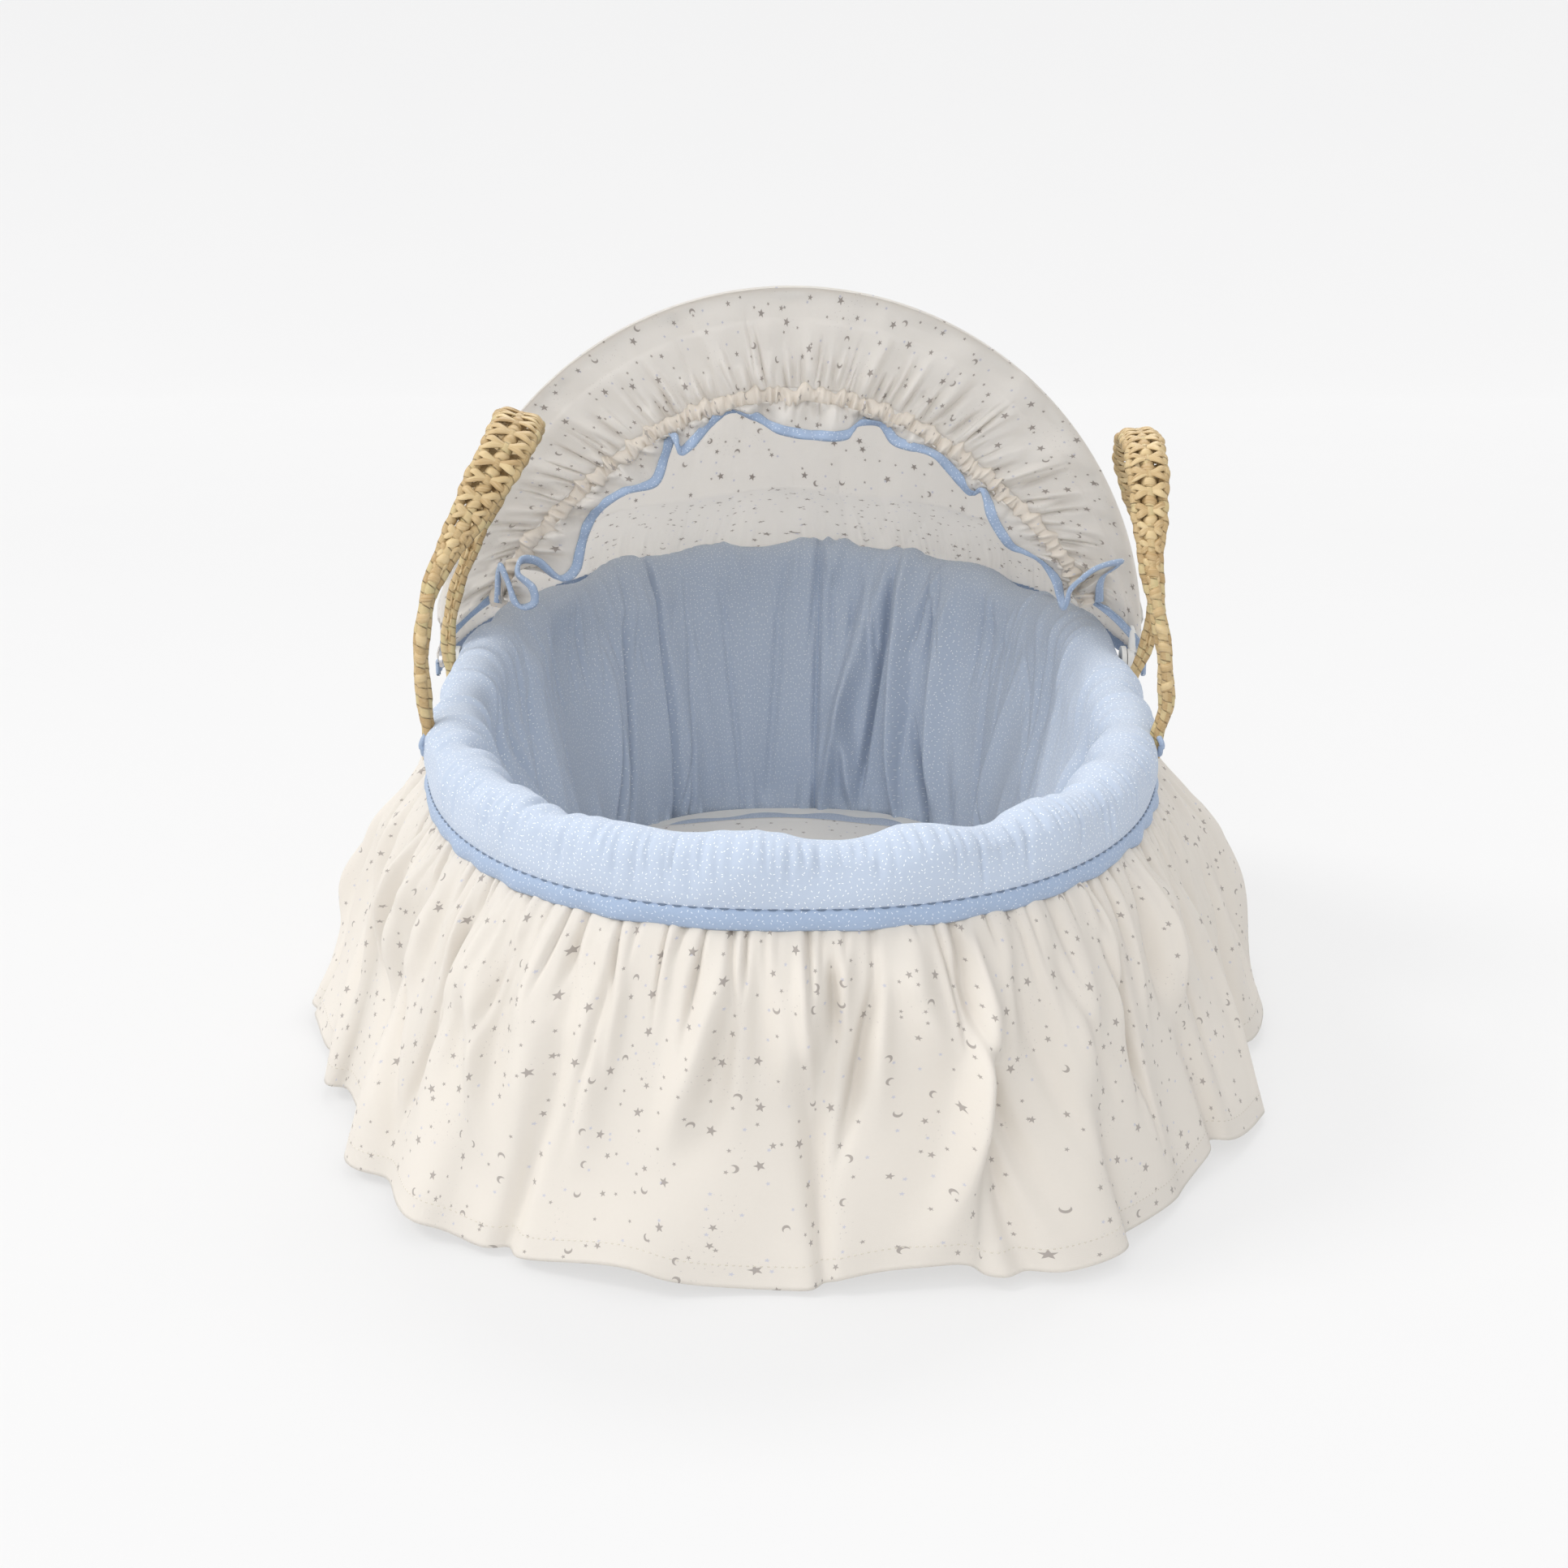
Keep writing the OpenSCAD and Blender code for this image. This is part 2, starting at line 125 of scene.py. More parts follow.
def smooth_path(points, count, scale=None):
    """Points along a smooth curve through the given ones, at about equal steps of the scaled length."""
    p = np.array(points, float)
    ends = np.vstack([2 * p[0] - p[1], p, 2 * p[-1] - p[-2]])
    dense = []
    for i in range(len(p) - 1):
        a, b, c, d = ends[i : i + 4]
        s = np.linspace(0, 1, 40, endpoint=False)[:, None]
        square, cube = 2 * a - 5 * b + 4 * c - d, 3 * b - a - 3 * c + d
        dense.append(0.5 * (2 * b + (c - a) * s + square * s**2 + cube * s**3))
    dense = np.vstack(dense + [p[-1:]])
    flat = dense if scale is None else dense @ np.array(scale)
    length = run_along(flat)
    at = np.linspace(0, length[-1], count)
    return np.stack([np.interp(at, length, dense[:, i]) for i in range(dense.shape[1])], axis=1)


def run_along(points):
    """The length from the first point of a line to each of its points."""
    return np.concatenate([[0], np.cumsum(np.linalg.norm(np.diff(points, axis=0), axis=1))])


def bump(x, middle, width):
    return np.exp(-(((x - middle) / width) ** 2))


def step(x, low, high):
    s = np.clip((x - low) / (high - low), 0, 1)
    return s * s * (3 - 2 * s)


def ripple(u, v, low, high, seed, drift=1.0, count=9):
    """A wavy field round the ring, about -2 to 2, with low to high waves round and a slow drift across."""
    rng = np.random.default_rng(seed)
    total = 0.0
    for _ in range(count):
        waves = rng.integers(low, high + 1)
        total = total + np.cos(2 * np.pi * (waves * u + rng.random()) + rng.normal(0, drift) * v)
    return total / math.sqrt(count / 2)


def pleats(shape, v, length, count, seed, width, depth, start, reach, slant=0.0, wrap=True):
    """Separate folds side by side along the grid's rows, each with its own width, depth, slant and ends."""
    rows, cols = shape
    rng = np.random.default_rng(seed)
    field = np.zeros(shape)
    pitch = length / cols
    for i in range(count):
        middle = (i + 0.5 + rng.uniform(-0.4, 0.4)) / count * cols
        wide = width * rng.uniform(0.6, 1.5)
        high = depth * rng.uniform(0.35, 1.3)
        lean = slant * rng.normal()
        top = start + rng.uniform(0, 0.15) * reach
        end = top + reach * rng.uniform(0.35, 1.15)
        reach_cols = int((3 * wide + abs(lean)) / pitch) + 2
        index = np.arange(int(middle) - reach_cols, int(middle) + reach_cols + 1)
        away = (index[None, :] - middle) * pitch - lean * (v - top)
        along = step(v, top - 0.03, top + 0.3 * (end - top)) * (1 - step(v, top + 0.45 * (end - top), end))
        fold = high * np.exp(-((away / wide) ** 2)) * along
        if wrap:
            field[:, index % cols] += fold
        else:
            inside = (index >= 0) & (index < cols)
            field[:, index[inside]] += fold[:, inside]
    return field


def creases(u, v, low, high, seed, drift=1.0):
    """Like ripple, but with round ridges and narrow valleys, 0 in a valley and about 1 on a ridge."""
    return np.minimum(np.abs(ripple(u, v, low, high, seed, drift)), 2) ** 0.7 / 2**0.7


def normals(points, wrap_u, wrap_v):
    """Unit normals of a grid, up the side that its faces show."""

    def slope(axis, wrap):
        if wrap:
            return np.roll(points, -1, axis) - np.roll(points, 1, axis)
        return np.gradient(points, axis=axis)

    n = np.cross(slope(0, wrap_v), slope(1, wrap_u))
    return n / np.maximum(np.linalg.norm(n, axis=2, keepdims=True), 1e-12)


# ---------------------------------------------------------------- mesh helpers


def link(name, mesh, material):
    piece = bpy.data.objects.new(name, mesh)
    bpy.context.scene.collection.objects.link(piece)
    if material:
        piece.data.materials.append(material)
    return piece


def mesh_object(name, vertices, faces, material, uv=None, smooth=True):
    mesh = bpy.data.meshes.new(name)
    mesh.from_pydata(np.asarray(vertices, float).reshape(-1, 3).tolist(), [], faces)
    if uv is not None:
        layer = mesh.uv_layers.new(name="cloth")
        layer.data.foreach_set("uv", np.asarray(uv, np.float32).ravel())
    mesh.polygons.foreach_set("use_smooth", [smooth] * len(mesh.polygons))
    mesh.validate()
    mesh.update()
    return link(name, mesh, material)


def grid_faces(rows, cols, wrap_u, wrap_v, start=0):
    down = np.arange(rows if wrap_v else rows - 1)
    across = np.arange(cols if wrap_u else cols - 1)
    i, j = np.meshgrid(down, across, indexing="ij")
    i2, j2 = (i + 1) % rows, (j + 1) % cols
    quads = np.stack([i * cols + j, i2 * cols + j, i2 * cols + j2, i * cols + j2], axis=-1)
    return (quads + start).reshape(-1, 4), i.ravel(), j.ravel()


def grid_object(name, points, material, uv_u, uv_v, wrap_u=False, wrap_v=False):
    """A cloth grid whose UVs are the flat cloth's metres: uv_u along each row, uv_v down the columns."""
    rows, cols = points.shape[:2]
    faces, i, j = grid_faces(rows, cols, wrap_u, wrap_v)
    uv_u, uv_v = np.asarray(uv_u), np.asarray(uv_v)
    corners = [(i, j), (i + 1, j), (i + 1, j + 1), (i, j + 1)]
    uv = np.stack([np.stack([uv_u[cj], uv_v[ci]], axis=-1) for ci, cj in corners], axis=1)
    return mesh_object(name, points, faces.tolist(), material, uv)


def thicken(piece, thickness, offset=0.0):
    solid = piece.modifiers.new("thickness", "SOLIDIFY")
    solid.thickness = thickness
    solid.offset = offset
    solid.use_even_offset = False
    return piece


def cut(points, closed=False):
    """The flat size that a modelled strip of cloth needs: its longest row by its mean depth."""
    ring_points = np.concatenate([points, points[:, :1]], axis=1) if closed else points
    rows = np.linalg.norm(np.diff(ring_points, axis=1), axis=2).sum(axis=1)
    columns = np.linalg.norm(np.diff(points, axis=0), axis=2).sum(axis=0)
    return float(rows.max()), float(columns.mean())


def tube_points(path, radius, sides, bumps=None):
    """Rings of points round a path; radius is one number or one for each point, bumps adds to it."""
    path = np.asarray(path, float)
    along = np.gradient(path, axis=0)
    along /= np.linalg.norm(along, axis=1, keepdims=True)
    side = np.zeros_like(path)
    start = np.cross(along[0], [0.0, 0.0, 1.0])
    if np.linalg.norm(start) < 0.2:
        start = np.cross(along[0], [1.0, 0.0, 0.0])
    side[0] = start / np.linalg.norm(start)
    for i in range(1, len(path)):
        kept = side[i - 1] - along[i] * np.dot(side[i - 1], along[i])
        side[i] = kept / np.linalg.norm(kept)
    up = np.cross(along, side)
    a = np.linspace(0, 2 * np.pi, sides, endpoint=False)
    r = np.broadcast_to(np.asarray(radius, float).reshape(-1, 1), (len(path), sides))
    r = r if bumps is None else r + bumps
    return path[:, None] + r[..., None] * (
        np.cos(a)[None, :, None] * side[:, None] + np.sin(a)[None, :, None] * up[:, None]
    )


class Parts:
    """Gathers many small shapes into one mesh."""

    def __init__(self):
        self.vertices, self.faces, self.uv, self.count = [], [], [], 0

    def add(self, vertices, faces, uv):
        self.vertices.append(np.asarray(vertices, float).reshape(-1, 3))
        self.faces += (np.asarray(faces) + self.count).tolist()
        self.uv.append(np.asarray(uv, float).reshape(-1, 2))
        self.count += len(self.vertices[-1])

    def add_grid(self, points, uv_u, uv_v, wrap_u=False, wrap_v=False):
        rows, cols = points.shape[:2]
        faces, i, j = grid_faces(rows, cols, wrap_u, wrap_v)
        corners = [(i, j), (i + 1, j), (i + 1, j + 1), (i, j + 1)]
        uv_u, uv_v = np.asarray(uv_u), np.asarray(uv_v)
        uv = np.stack([np.stack([uv_u[cj], uv_v[ci]], axis=-1) for ci, cj in corners], axis=1)
        self.add(points, faces, uv)

    def add_tube(self, path, radius, sides=10, bumps=None, closed=False, turn=0.0):
        points = tube_points(path, radius, sides, bumps)
        if not closed:
            caps = np.repeat(np.asarray(path, float)[[0, -1]][:, None], sides, axis=1)
            points = np.concatenate([caps[:1], points, caps[1:]])
        length = np.concatenate([[0], np.cumsum(np.linalg.norm(np.diff(points.mean(1), axis=0), axis=1))])
        length = np.append(length, length[-1] + (length[-1] - length[-2])) + turn
        self.add_grid(points, np.arange(sides + 1) / sides, length, wrap_u=True, wrap_v=closed)

    def build(self, name, material):
        return mesh_object(name, np.vstack(self.vertices), self.faces, material, np.vstack(self.uv))


def stitches(parts, path, out, length, gap, radius):
    """Thread stitches along a path, lying on the cloth; out is the cloth's normal at each point."""
    path, out = np.asarray(path, float), np.asarray(out, float)
    run = run_along(path)
    starts = np.arange(0, run[-1] - length, length + gap)

    def at(s, field):
        return np.stack([np.interp(s, run, field[:, i]) for i in range(3)], axis=1)

    for s in starts:
        shares = s + length * np.array([0.0, 0.25, 0.5, 0.75, 1.0])
        lift = radius * np.array([-0.4, 0.7, 1.0, 0.7, -0.4])
        spine = at(shares, path) + at(shares, out) * lift[:, None]
        parts.add_tube(spine, radius * np.array([0.55, 1, 1, 1, 0.55]), 6)


# ---------------------------------------------------------------- materials


class Shader:
    """A short way to write a node tree."""

    def __init__(self, name):
        self.material = bpy.data.materials.new(name)
        self.material.use_nodes = True
        self.tree = self.material.node_tree
        self.tree.nodes.clear()
        self.output = self.node("ShaderNodeOutputMaterial")

    def node(self, kind, inputs=(), **settings):
        made = self.tree.nodes.new(kind)
        for key, value in settings.items():
            setattr(made, key, value)
        for key, value in dict(inputs).items():
            self.put(made.inputs[key], value)
        return made

    def put(self, socket, value):
        if isinstance(value, bpy.types.NodeSocket):
            self.tree.links.new(value, socket)
        else:
            socket.default_value = value

    def math(self, operation, a, b=0.0, clamp=False):
        made = self.node("ShaderNodeMath", {0: a, 1: b}, operation=operation, use_clamp=clamp)
        return made.outputs[0]

    def plus(self, a, b, clamp=False):
        return self.math("ADD", a, b, clamp)

    def minus(self, a, b, clamp=False):
        return self.math("SUBTRACT", a, b, clamp)

    def times(self, a, b):
        return self.math("MULTIPLY", a, b)

    def over(self, a, b, clamp=False):
        return self.math("DIVIDE", a, b, clamp)

    def vector(self, operation, a, b=(0, 0, 0)):
        return self.node("ShaderNodeVectorMath", {0: a, 1: b}, operation=operation).outputs[0]

    def scale(self, a, factor):
        return self.node("ShaderNodeVectorMath", {0: a, "Scale": factor}, operation="SCALE").outputs[0]

    def mix(self, factor, a, b):
        made = self.node("ShaderNodeMix", data_type="RGBA")
        for index, value in ((0, factor), (6, a), (7, b)):
            self.put(made.inputs[index], value)
        return made.outputs[2]

    def noise(self, vector, scale, detail=2.0, roughness=0.5):
        inputs = {"Vector": vector, "Scale": scale, "Detail": detail, "Roughness": roughness}
        return self.node("ShaderNodeTexNoise", inputs).outputs[0]

    def ramp(self, value, low, high):
        """0 below low and 1 above high."""
        made = self.node("ShaderNodeMapRange", {0: value, 1: low, 2: high, 3: 0.0, 4: 1.0})
        return made.outputs[0]

    def uv(self):
        return self.node("ShaderNodeTexCoord").outputs["UV"]

    def place(self):
        return self.node("ShaderNodeTexCoord").outputs["Object"]

    def scatter(self, uv, cell, shift):
        """Millimetres from the nearest of the scattered spots, turned at random, and two random numbers."""
        moved = self.scale(self.vector("ADD", uv, (shift, shift * 0.7, 0.0)), 1 / cell)
        inputs = {"Vector": moved, "Scale": 1.0, "Randomness": 0.85}
        cells = self.node("ShaderNodeTexVoronoi", inputs, voronoi_dimensions="2D")
        local = self.scale(self.vector("SUBTRACT", moved, cells.outputs["Position"]), cell * 1000)
        chance = self.node("ShaderNodeSeparateColor", {0: cells.outputs["Color"]})
        turned = self.node(
            "ShaderNodeVectorRotate",
            {"Vector": local, "Angle": self.times(chance.outputs[2], 6.283)},
            rotation_type="Z_AXIS",
        )
        axes = self.node("ShaderNodeSeparateXYZ", {0: turned.outputs[0]})
        return axes.outputs[0], axes.outputs[1], chance.outputs[0], chance.outputs[1]

    def star(self, x, y, radius, soft=0.25):
        """Coverage of a five-pointed star."""
        turn = self.over(self.math("ARCTAN2", y, x), 2 * math.pi / 5)
        half = self.math("ABSOLUTE", self.minus(self.math("FRACT", self.plus(turn, 10.5)), 0.5))
        folded = self.times(half, 2 * math.pi / 5)
        reach = self.math("SQRT", self.plus(self.times(x, x), self.times(y, y)))
        across = self.times(reach, self.math("COSINE", folded))
        up = self.times(reach, self.math("SINE", folded))
        edge = self.plus(across, self.times(up, 2.67))
        return self.over(self.minus(radius, edge), soft, clamp=True)

    def disc(self, x, y, radius, middle=0.0, soft=0.2):
        off = self.minus(x, middle)
        reach = self.math("SQRT", self.plus(self.times(off, off), self.times(y, y)))
        return self.over(self.minus(radius, reach), soft, clamp=True)

    def moon(self, x, y, radius):
        """Coverage of a crescent moon."""
        bite = self.disc(x, y, radius * 0.82, radius * 0.48)
        return self.times(self.disc(x, y, radius), self.minus(1.0, bite))

    def between(self, value, low, high):
        over = self.math("GREATER_THAN", value, low)
        return self.times(over, self.math("LESS_THAN", value, high))

    def surface(
        self, colour, roughness, height=None, depth=0.0, sheen=0.0, through=None, share=0.25, **sockets
    ):
        """Finishes the material: a Principled shader, and a share of light that comes through the cloth."""
        made = self.node("ShaderNodeBsdfPrincipled", {"Base Color": colour, "Roughness": roughness})
        made.inputs["Sheen Weight"].default_value = sheen
        made.inputs["Sheen Roughness"].default_value = 0.5
        for key, value in sockets.items():
            made.inputs[key.replace("_", " ")].default_value = value
        if height is not None:
            lifted = self.node("ShaderNodeBump", {"Height": height, "Distance": depth, "Strength": 1.0})
            self.put(made.inputs["Normal"], lifted.outputs[0])
        shown = made.outputs[0]
        if through is not None:
            clear = self.node("ShaderNodeBsdfTranslucent", {"Color": through})
            shown = self.node("ShaderNodeMixShader", {0: share, 1: shown, 2: clear.outputs[0]}).outputs[0]
        self.put(self.output.inputs[0], shown)
        return self.material


def weave(shader, uv, pitch=0.00035):
    """Height of a plain weave, from crossed threads with uneven thickness."""
    axes = shader.node("ShaderNodeSeparateXYZ", {0: shader.scale(uv, 2 * math.pi / pitch)})
    threads = shader.times(shader.math("SINE", axes.outputs[0]), shader.math("SINE", axes.outputs[1]))
    return shader.plus(shader.times(threads, 0.35), shader.noise(uv, 1400, 3.0))


def star_fabric(name, ground, share=0.3):
    """Cream cotton with a scattered print of stars, moons and dots."""
    shader = Shader(name)
    uv = shader.uv()
    warm = shader.noise(uv, 9.0, 3.0)
    colour = shader.mix(warm, (*[c * 0.965 for c in ground], 1), (*ground, 1))
    fibre = shader.noise(uv, 500, 3.0)
    colour = shader.mix(shader.times(fibre, 0.10), colour, (0.70, 0.64, 0.56, 1))
    grey, pale = (0.42, 0.375, 0.35, 1), (0.62, 0.63, 0.74, 1)
    x, y, kind, _ = shader.scatter(uv, 0.024, 0.31)
    big = shader.times(shader.star(x, y, 3.4), shader.math("LESS_THAN", kind, 0.26))
    middle = shader.times(shader.star(x, y, 2.4), shader.between(kind, 0.26, 0.60))
    moon = shader.times(shader.moon(x, y, 2.5), shader.between(kind, 0.60, 0.90))
    ink = shader.plus(shader.plus(big, middle), moon, clamp=True)
    x, y, kind, _ = shader.scatter(uv, 0.0135, 1.73)
    small = shader.times(shader.star(x, y, 1.55), shader.math("LESS_THAN", kind, 0.38))
    ink = shader.plus(ink, small, clamp=True)
    dot = shader.times(shader.star(x, y, 1.5), shader.between(kind, 0.60, 0.86))
    x, y, _, _ = shader.scatter(uv, 0.0052, 2.9)
    cluster = shader.ramp(shader.noise(shader.vector("ADD", uv, (3.1, 0, 0)), 28.0, 1.0), 0.56, 0.64)
    speck = shader.times(shader.disc(x, shader.times(y, 2.2), 0.55), cluster)
    colour = shader.mix(shader.times(speck, 0.45), colour, (0.45, 0.42, 0.42, 1))
    colour = shader.mix(shader.times(dot, 0.75), colour, pale)
    colour = shader.mix(shader.times(ink, 0.85), colour, grey)
    return shader.surface(colour, 0.86, weave(shader, uv), 0.00010, sheen=0.12, through=colour, share=share)


def blue_fabric(name, ground, dashes=1.0, share=0.0):
    """Blue cotton with small white dashes, each turned its own way."""
    shader = Shader(name)
    uv = shader.uv()
    slow = shader.noise(uv, 14.0, 3.0)
    colour = shader.mix(slow, (*[c * 0.94 for c in ground], 1), (*ground, 1))
    fibre = shader.noise(uv, 700, 3.0)
    colour = shader.mix(shader.times(fibre, 0.12), colour, (0.72, 0.80, 0.92, 1))
    x, y, _, _ = shader.scatter(uv, 0.0033, 0.9)
    flat = shader.math("MAXIMUM", shader.minus(shader.math("ABSOLUTE", x), 0.36), 0.0)
    dash = shader.disc(flat, y, 0.27, soft=0.12)
    colour = shader.mix(shader.times(dash, dashes), colour, (0.92, 0.95, 0.98, 1))
    through = colour if share else None
    return shader.surface(colour, 0.85, weave(shader, uv), 0.00010, sheen=0.15, through=through, share=share)


def plain_cloth(name, ground):
    shader = Shader(name)
    place = shader.place()
    colour = shader.mix(shader.noise(place, 60.0, 3.0), (*[c * 0.92 for c in ground], 1), (*ground, 1))
    return shader.surface(colour, 0.85, shader.noise(place, 1500, 3.0), 0.0002, sheen=0.1)


def thread(name, ground):
    shader = Shader(name)
    uv = shader.uv()
    axes = shader.node("ShaderNodeSeparateXYZ", {0: uv})
    twist = shader.plus(shader.times(axes.outputs[1], 9000.0), shader.times(axes.outputs[0], 6.283))
    ply = shader.math("SINE", twist)
    # Painted shade: the thread is darker in the grooves of its twist, where its bump is low.
    colour = shader.mix(shader.ramp(ply, -1, 1), (*[c * 0.75 for c in ground], 1), (*ground, 1))
    return shader.surface(colour, 0.6, ply, 0.00008, sheen=0.1)


def palm_leaf(name, green=0.5):
    """Dry palm leaf wrapped round a cord: fibres across the strip, a colour of its own on each turn, and painted
    shade where the turns meet.
    """
    shader = Shader(name)
    uv = shader.uv()
    axes = shader.node("ShaderNodeSeparateXYZ", {0: uv})
    turn = shader.plus(shader.times(axes.outputs[1], 150.0), axes.outputs[0])
    strip = shader.math("FLOOR", turn)
    own = shader.node("ShaderNodeTexWhiteNoise", {"W": strip}, noise_dimensions="1D").outputs["Value"]
    colour = shader.mix(own, (0.40, 0.26, 0.105, 1), (0.62, 0.48, 0.25, 1))
    colour = shader.mix(shader.times(shader.ramp(own, 0.62, 0.95), green), colour, (0.42, 0.38, 0.17, 1))
    along, across = shader.times(axes.outputs[0], 3.0), shader.times(axes.outputs[1], 1500.0)
    lines = shader.node("ShaderNodeCombineXYZ", {0: along, 1: across})
    grain = shader.noise(lines.outputs[0], 2.2, 3.0)
    colour = shader.mix(shader.times(shader.ramp(grain, 0.40, 0.80), 0.7), colour, (0.66, 0.51, 0.31, 1))
    edge = shader.math("FRACT", turn)
    gap = shader.times(shader.ramp(edge, 0.0, 0.10), shader.ramp(edge, 1.0, 0.93))
    # Painted shade: near black-brown where each turn of leaf meets the next, in patches picked out by a noise.
    shade_patches = shader.ramp(shader.noise(shader.place(), 260.0, 2.0), 0.38, 0.62)
    dark = shader.times(shader.minus(1.0, gap), shade_patches)
    colour = shader.mix(shader.times(dark, 0.85), colour, (0.10, 0.06, 0.025, 1))
    height = shader.plus(shader.times(gap, 1.2), shader.times(grain, 0.5))
    return shader.surface(colour, shader.plus(0.42, shader.times(grain, 0.25)), height, 0.0005)


def leaf_strip(name):
    """A single strip of dry leaf: fine fibres along it and a tone of its own."""
    shader = Shader(name)
    uv = shader.uv()
    axes = shader.node("ShaderNodeSeparateXYZ", {0: uv})
    strip = shader.math("FLOOR", shader.times(axes.outputs[1], 40.0))
    own = shader.node("ShaderNodeTexWhiteNoise", {"W": strip}, noise_dimensions="1D").outputs["Value"]
    colour = shader.mix(own, (0.42, 0.27, 0.11, 1), (0.66, 0.51, 0.27, 1))
    drawn = shader.vector("MULTIPLY", uv, (60.0, 2400.0, 1.0))
    grain = shader.noise(drawn, 1.0, 3.0)
    colour = shader.mix(shader.times(shader.ramp(grain, 0.35, 0.80), 0.7), colour, (0.68, 0.53, 0.32, 1))
    blotch = shader.ramp(shader.noise(shader.place(), 90.0, 2.0), 0.55, 0.75)
    colour = shader.mix(shader.times(blotch, 0.35), colour, (0.42, 0.26, 0.10, 1))
    return shader.surface(colour, 0.50, grain, 0.0003)


def palm_weave(name):
    """Plaited palm leaf, by place: courses of braid round the wall, with painted shade between the strands."""
    shader = Shader(name)
    place = shader.place()
    axes = shader.node("ShaderNodeSeparateXYZ", {0: place})
    round_it = shader.math("ARCTAN2", axes.outputs[1], shader.times(axes.outputs[0], 1.6))
    course = shader.times(axes.outputs[2], 60.0)
    row = shader.math("FLOOR", course)
    lean = shader.times(shader.minus(shader.math("FRACT", course), 0.5), 1.6)
    way = shader.minus(shader.times(shader.math("FLOORED_MODULO", row, 2.0), 2.0), 1.0)
    strand = shader.plus(shader.times(round_it, 42.0), shader.times(lean, way))
    across = shader.math("SINE", shader.times(shader.math("FRACT", strand), 3.1416))
    up = shader.math("SINE", shader.times(shader.math("FRACT", course), 3.1416))
    over = shader.times(across, up)
    cell = shader.node("ShaderNodeCombineXYZ", {0: shader.math("FLOOR", strand), 1: row}).outputs[0]
    own = shader.node("ShaderNodeTexWhiteNoise", {"Vector": cell}, noise_dimensions="2D").outputs["Value"]
    colour = shader.mix(own, (0.50, 0.38, 0.19, 1), (0.72, 0.61, 0.37, 1))
    # Painted shade: dark brown where the plait dips between its strands and courses.
    colour = shader.mix(shader.ramp(over, 0.5, 0.0), colour, (0.13, 0.08, 0.04, 1))
    height = shader.plus(over, shader.times(shader.noise(place, 700, 2.0), 0.2))
    return shader.surface(colour, 0.6, height, 0.003)


def hard(name, colour, roughness, metallic=0.0, scale=90.0):
    shader = Shader(name)
    place = shader.place()
    grain = shader.noise(place, scale, 4.0)
    shown = shader.mix(grain, (*[c * 0.86 for c in colour], 1), (*colour, 1))
    rough = shader.plus(roughness - 0.08, shader.times(grain, 0.16))
    return shader.surface(shown, rough, shader.noise(place, scale * 12, 2.0), 0.00004, Metallic=metallic)


def board(name):
    """Pressed board with a fine grain along it."""
    shader = Shader(name)
    stretched = shader.vector("MULTIPLY", shader.place(), (30.0, 4.0, 30.0))
    grain = shader.noise(stretched, 8.0, 5.0, 0.6)
    colour = shader.mix(grain, (0.30, 0.19, 0.10, 1), (0.52, 0.37, 0.22, 1))
    return shader.surface(colour, 0.55, grain, 0.0003)


BLUE = (0.500, 0.580, 0.710)
# Painted shade: the skirt's ground is a darker, browner copy of the hood's print ground, for the shade on the
# skirt's front.
SHADED_CREAM = (0.90, 0.855, 0.79)
finish = {
    "palm_weave": palm_weave("palm_weave"),
    "palm_cord": palm_leaf("palm_cord"),
    "palm_leaf": leaf_strip("palm_leaf"),
    "hardboard": board("hardboard"),
    "foam": plain_cloth("foam", (0.90, 0.89, 0.85)),
    "blue_sheet": blue_fabric("blue_sheet", BLUE),
    "star_coverlet": star_fabric("star_coverlet", (0.90, 0.88, 0.84), 0.0),
    "blue_padding": blue_fabric("blue_padding", BLUE),
    "blue_binding": blue_fabric("blue_binding", (0.33, 0.43, 0.60), 0.6),
    "star_skirt": star_fabric("star_skirt", SHADED_CREAM, 0.22),
    # Painted light: the hood's copy of the print has a lighter ground, for the light that comes through the hood
    # from behind.
    "star_hood": star_fabric("star_hood", (0.96, 0.94, 0.91), 0.58),
    "cream_tape": plain_cloth("cream_tape", (0.86, 0.82, 0.75)),
    "bracket_plastic": hard("bracket_plastic", (0.86, 0.86, 0.83), 0.42),
    "pin_steel": hard("pin_steel", (0.62, 0.62, 0.64), 0.30, 1.0),
    "hoop_steel": hard("hoop_steel", (0.86, 0.86, 0.84), 0.35),
}
# Painted shade: the casing's copy of the print has a darker, warmer ground, for the shade in its layered, ruched
# cloth.
finish["ruched_hood"] = star_fabric("ruched_hood", (0.86, 0.79, 0.70), 0.15)
dark_thread = thread("dark_thread", (0.16, 0.22, 0.32))
cream_thread = thread("cream_thread", (0.80, 0.74, 0.64))
blue_thread = thread("blue_thread", (0.42, 0.54, 0.74))

for row in frame["record"]["subparts"]:
    node = frame["nodes"][row["node"]]
    node.data.materials.clear()
    node.data.materials.append(finish[row["material_slot"]])


def settle(piece, body, slot, *nodes):
    """The piece rides on a body and stands for CAD nodes; the slot is not used."""
    if body:
        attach(piece, body)
    if nodes:
        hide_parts(*nodes)
    return piece


# ---------------------------------------------------------------- camera, light and floor


def sun_lamp(name, direction, strength, spread, colour):
    """A far lamp that shines along the direction, with soft shadows from its spread in degrees."""
    lamp = bpy.data.lights.new(name, "SUN")
    lamp.energy = strength
    lamp.angle = math.radians(spread)
    lamp.color = colour
    made = bpy.data.objects.new(name, lamp)
    made.rotation_euler = Vector(direction).to_track_quat("-Z", "Y").to_euler()
    bpy.context.scene.collection.objects.link(made)


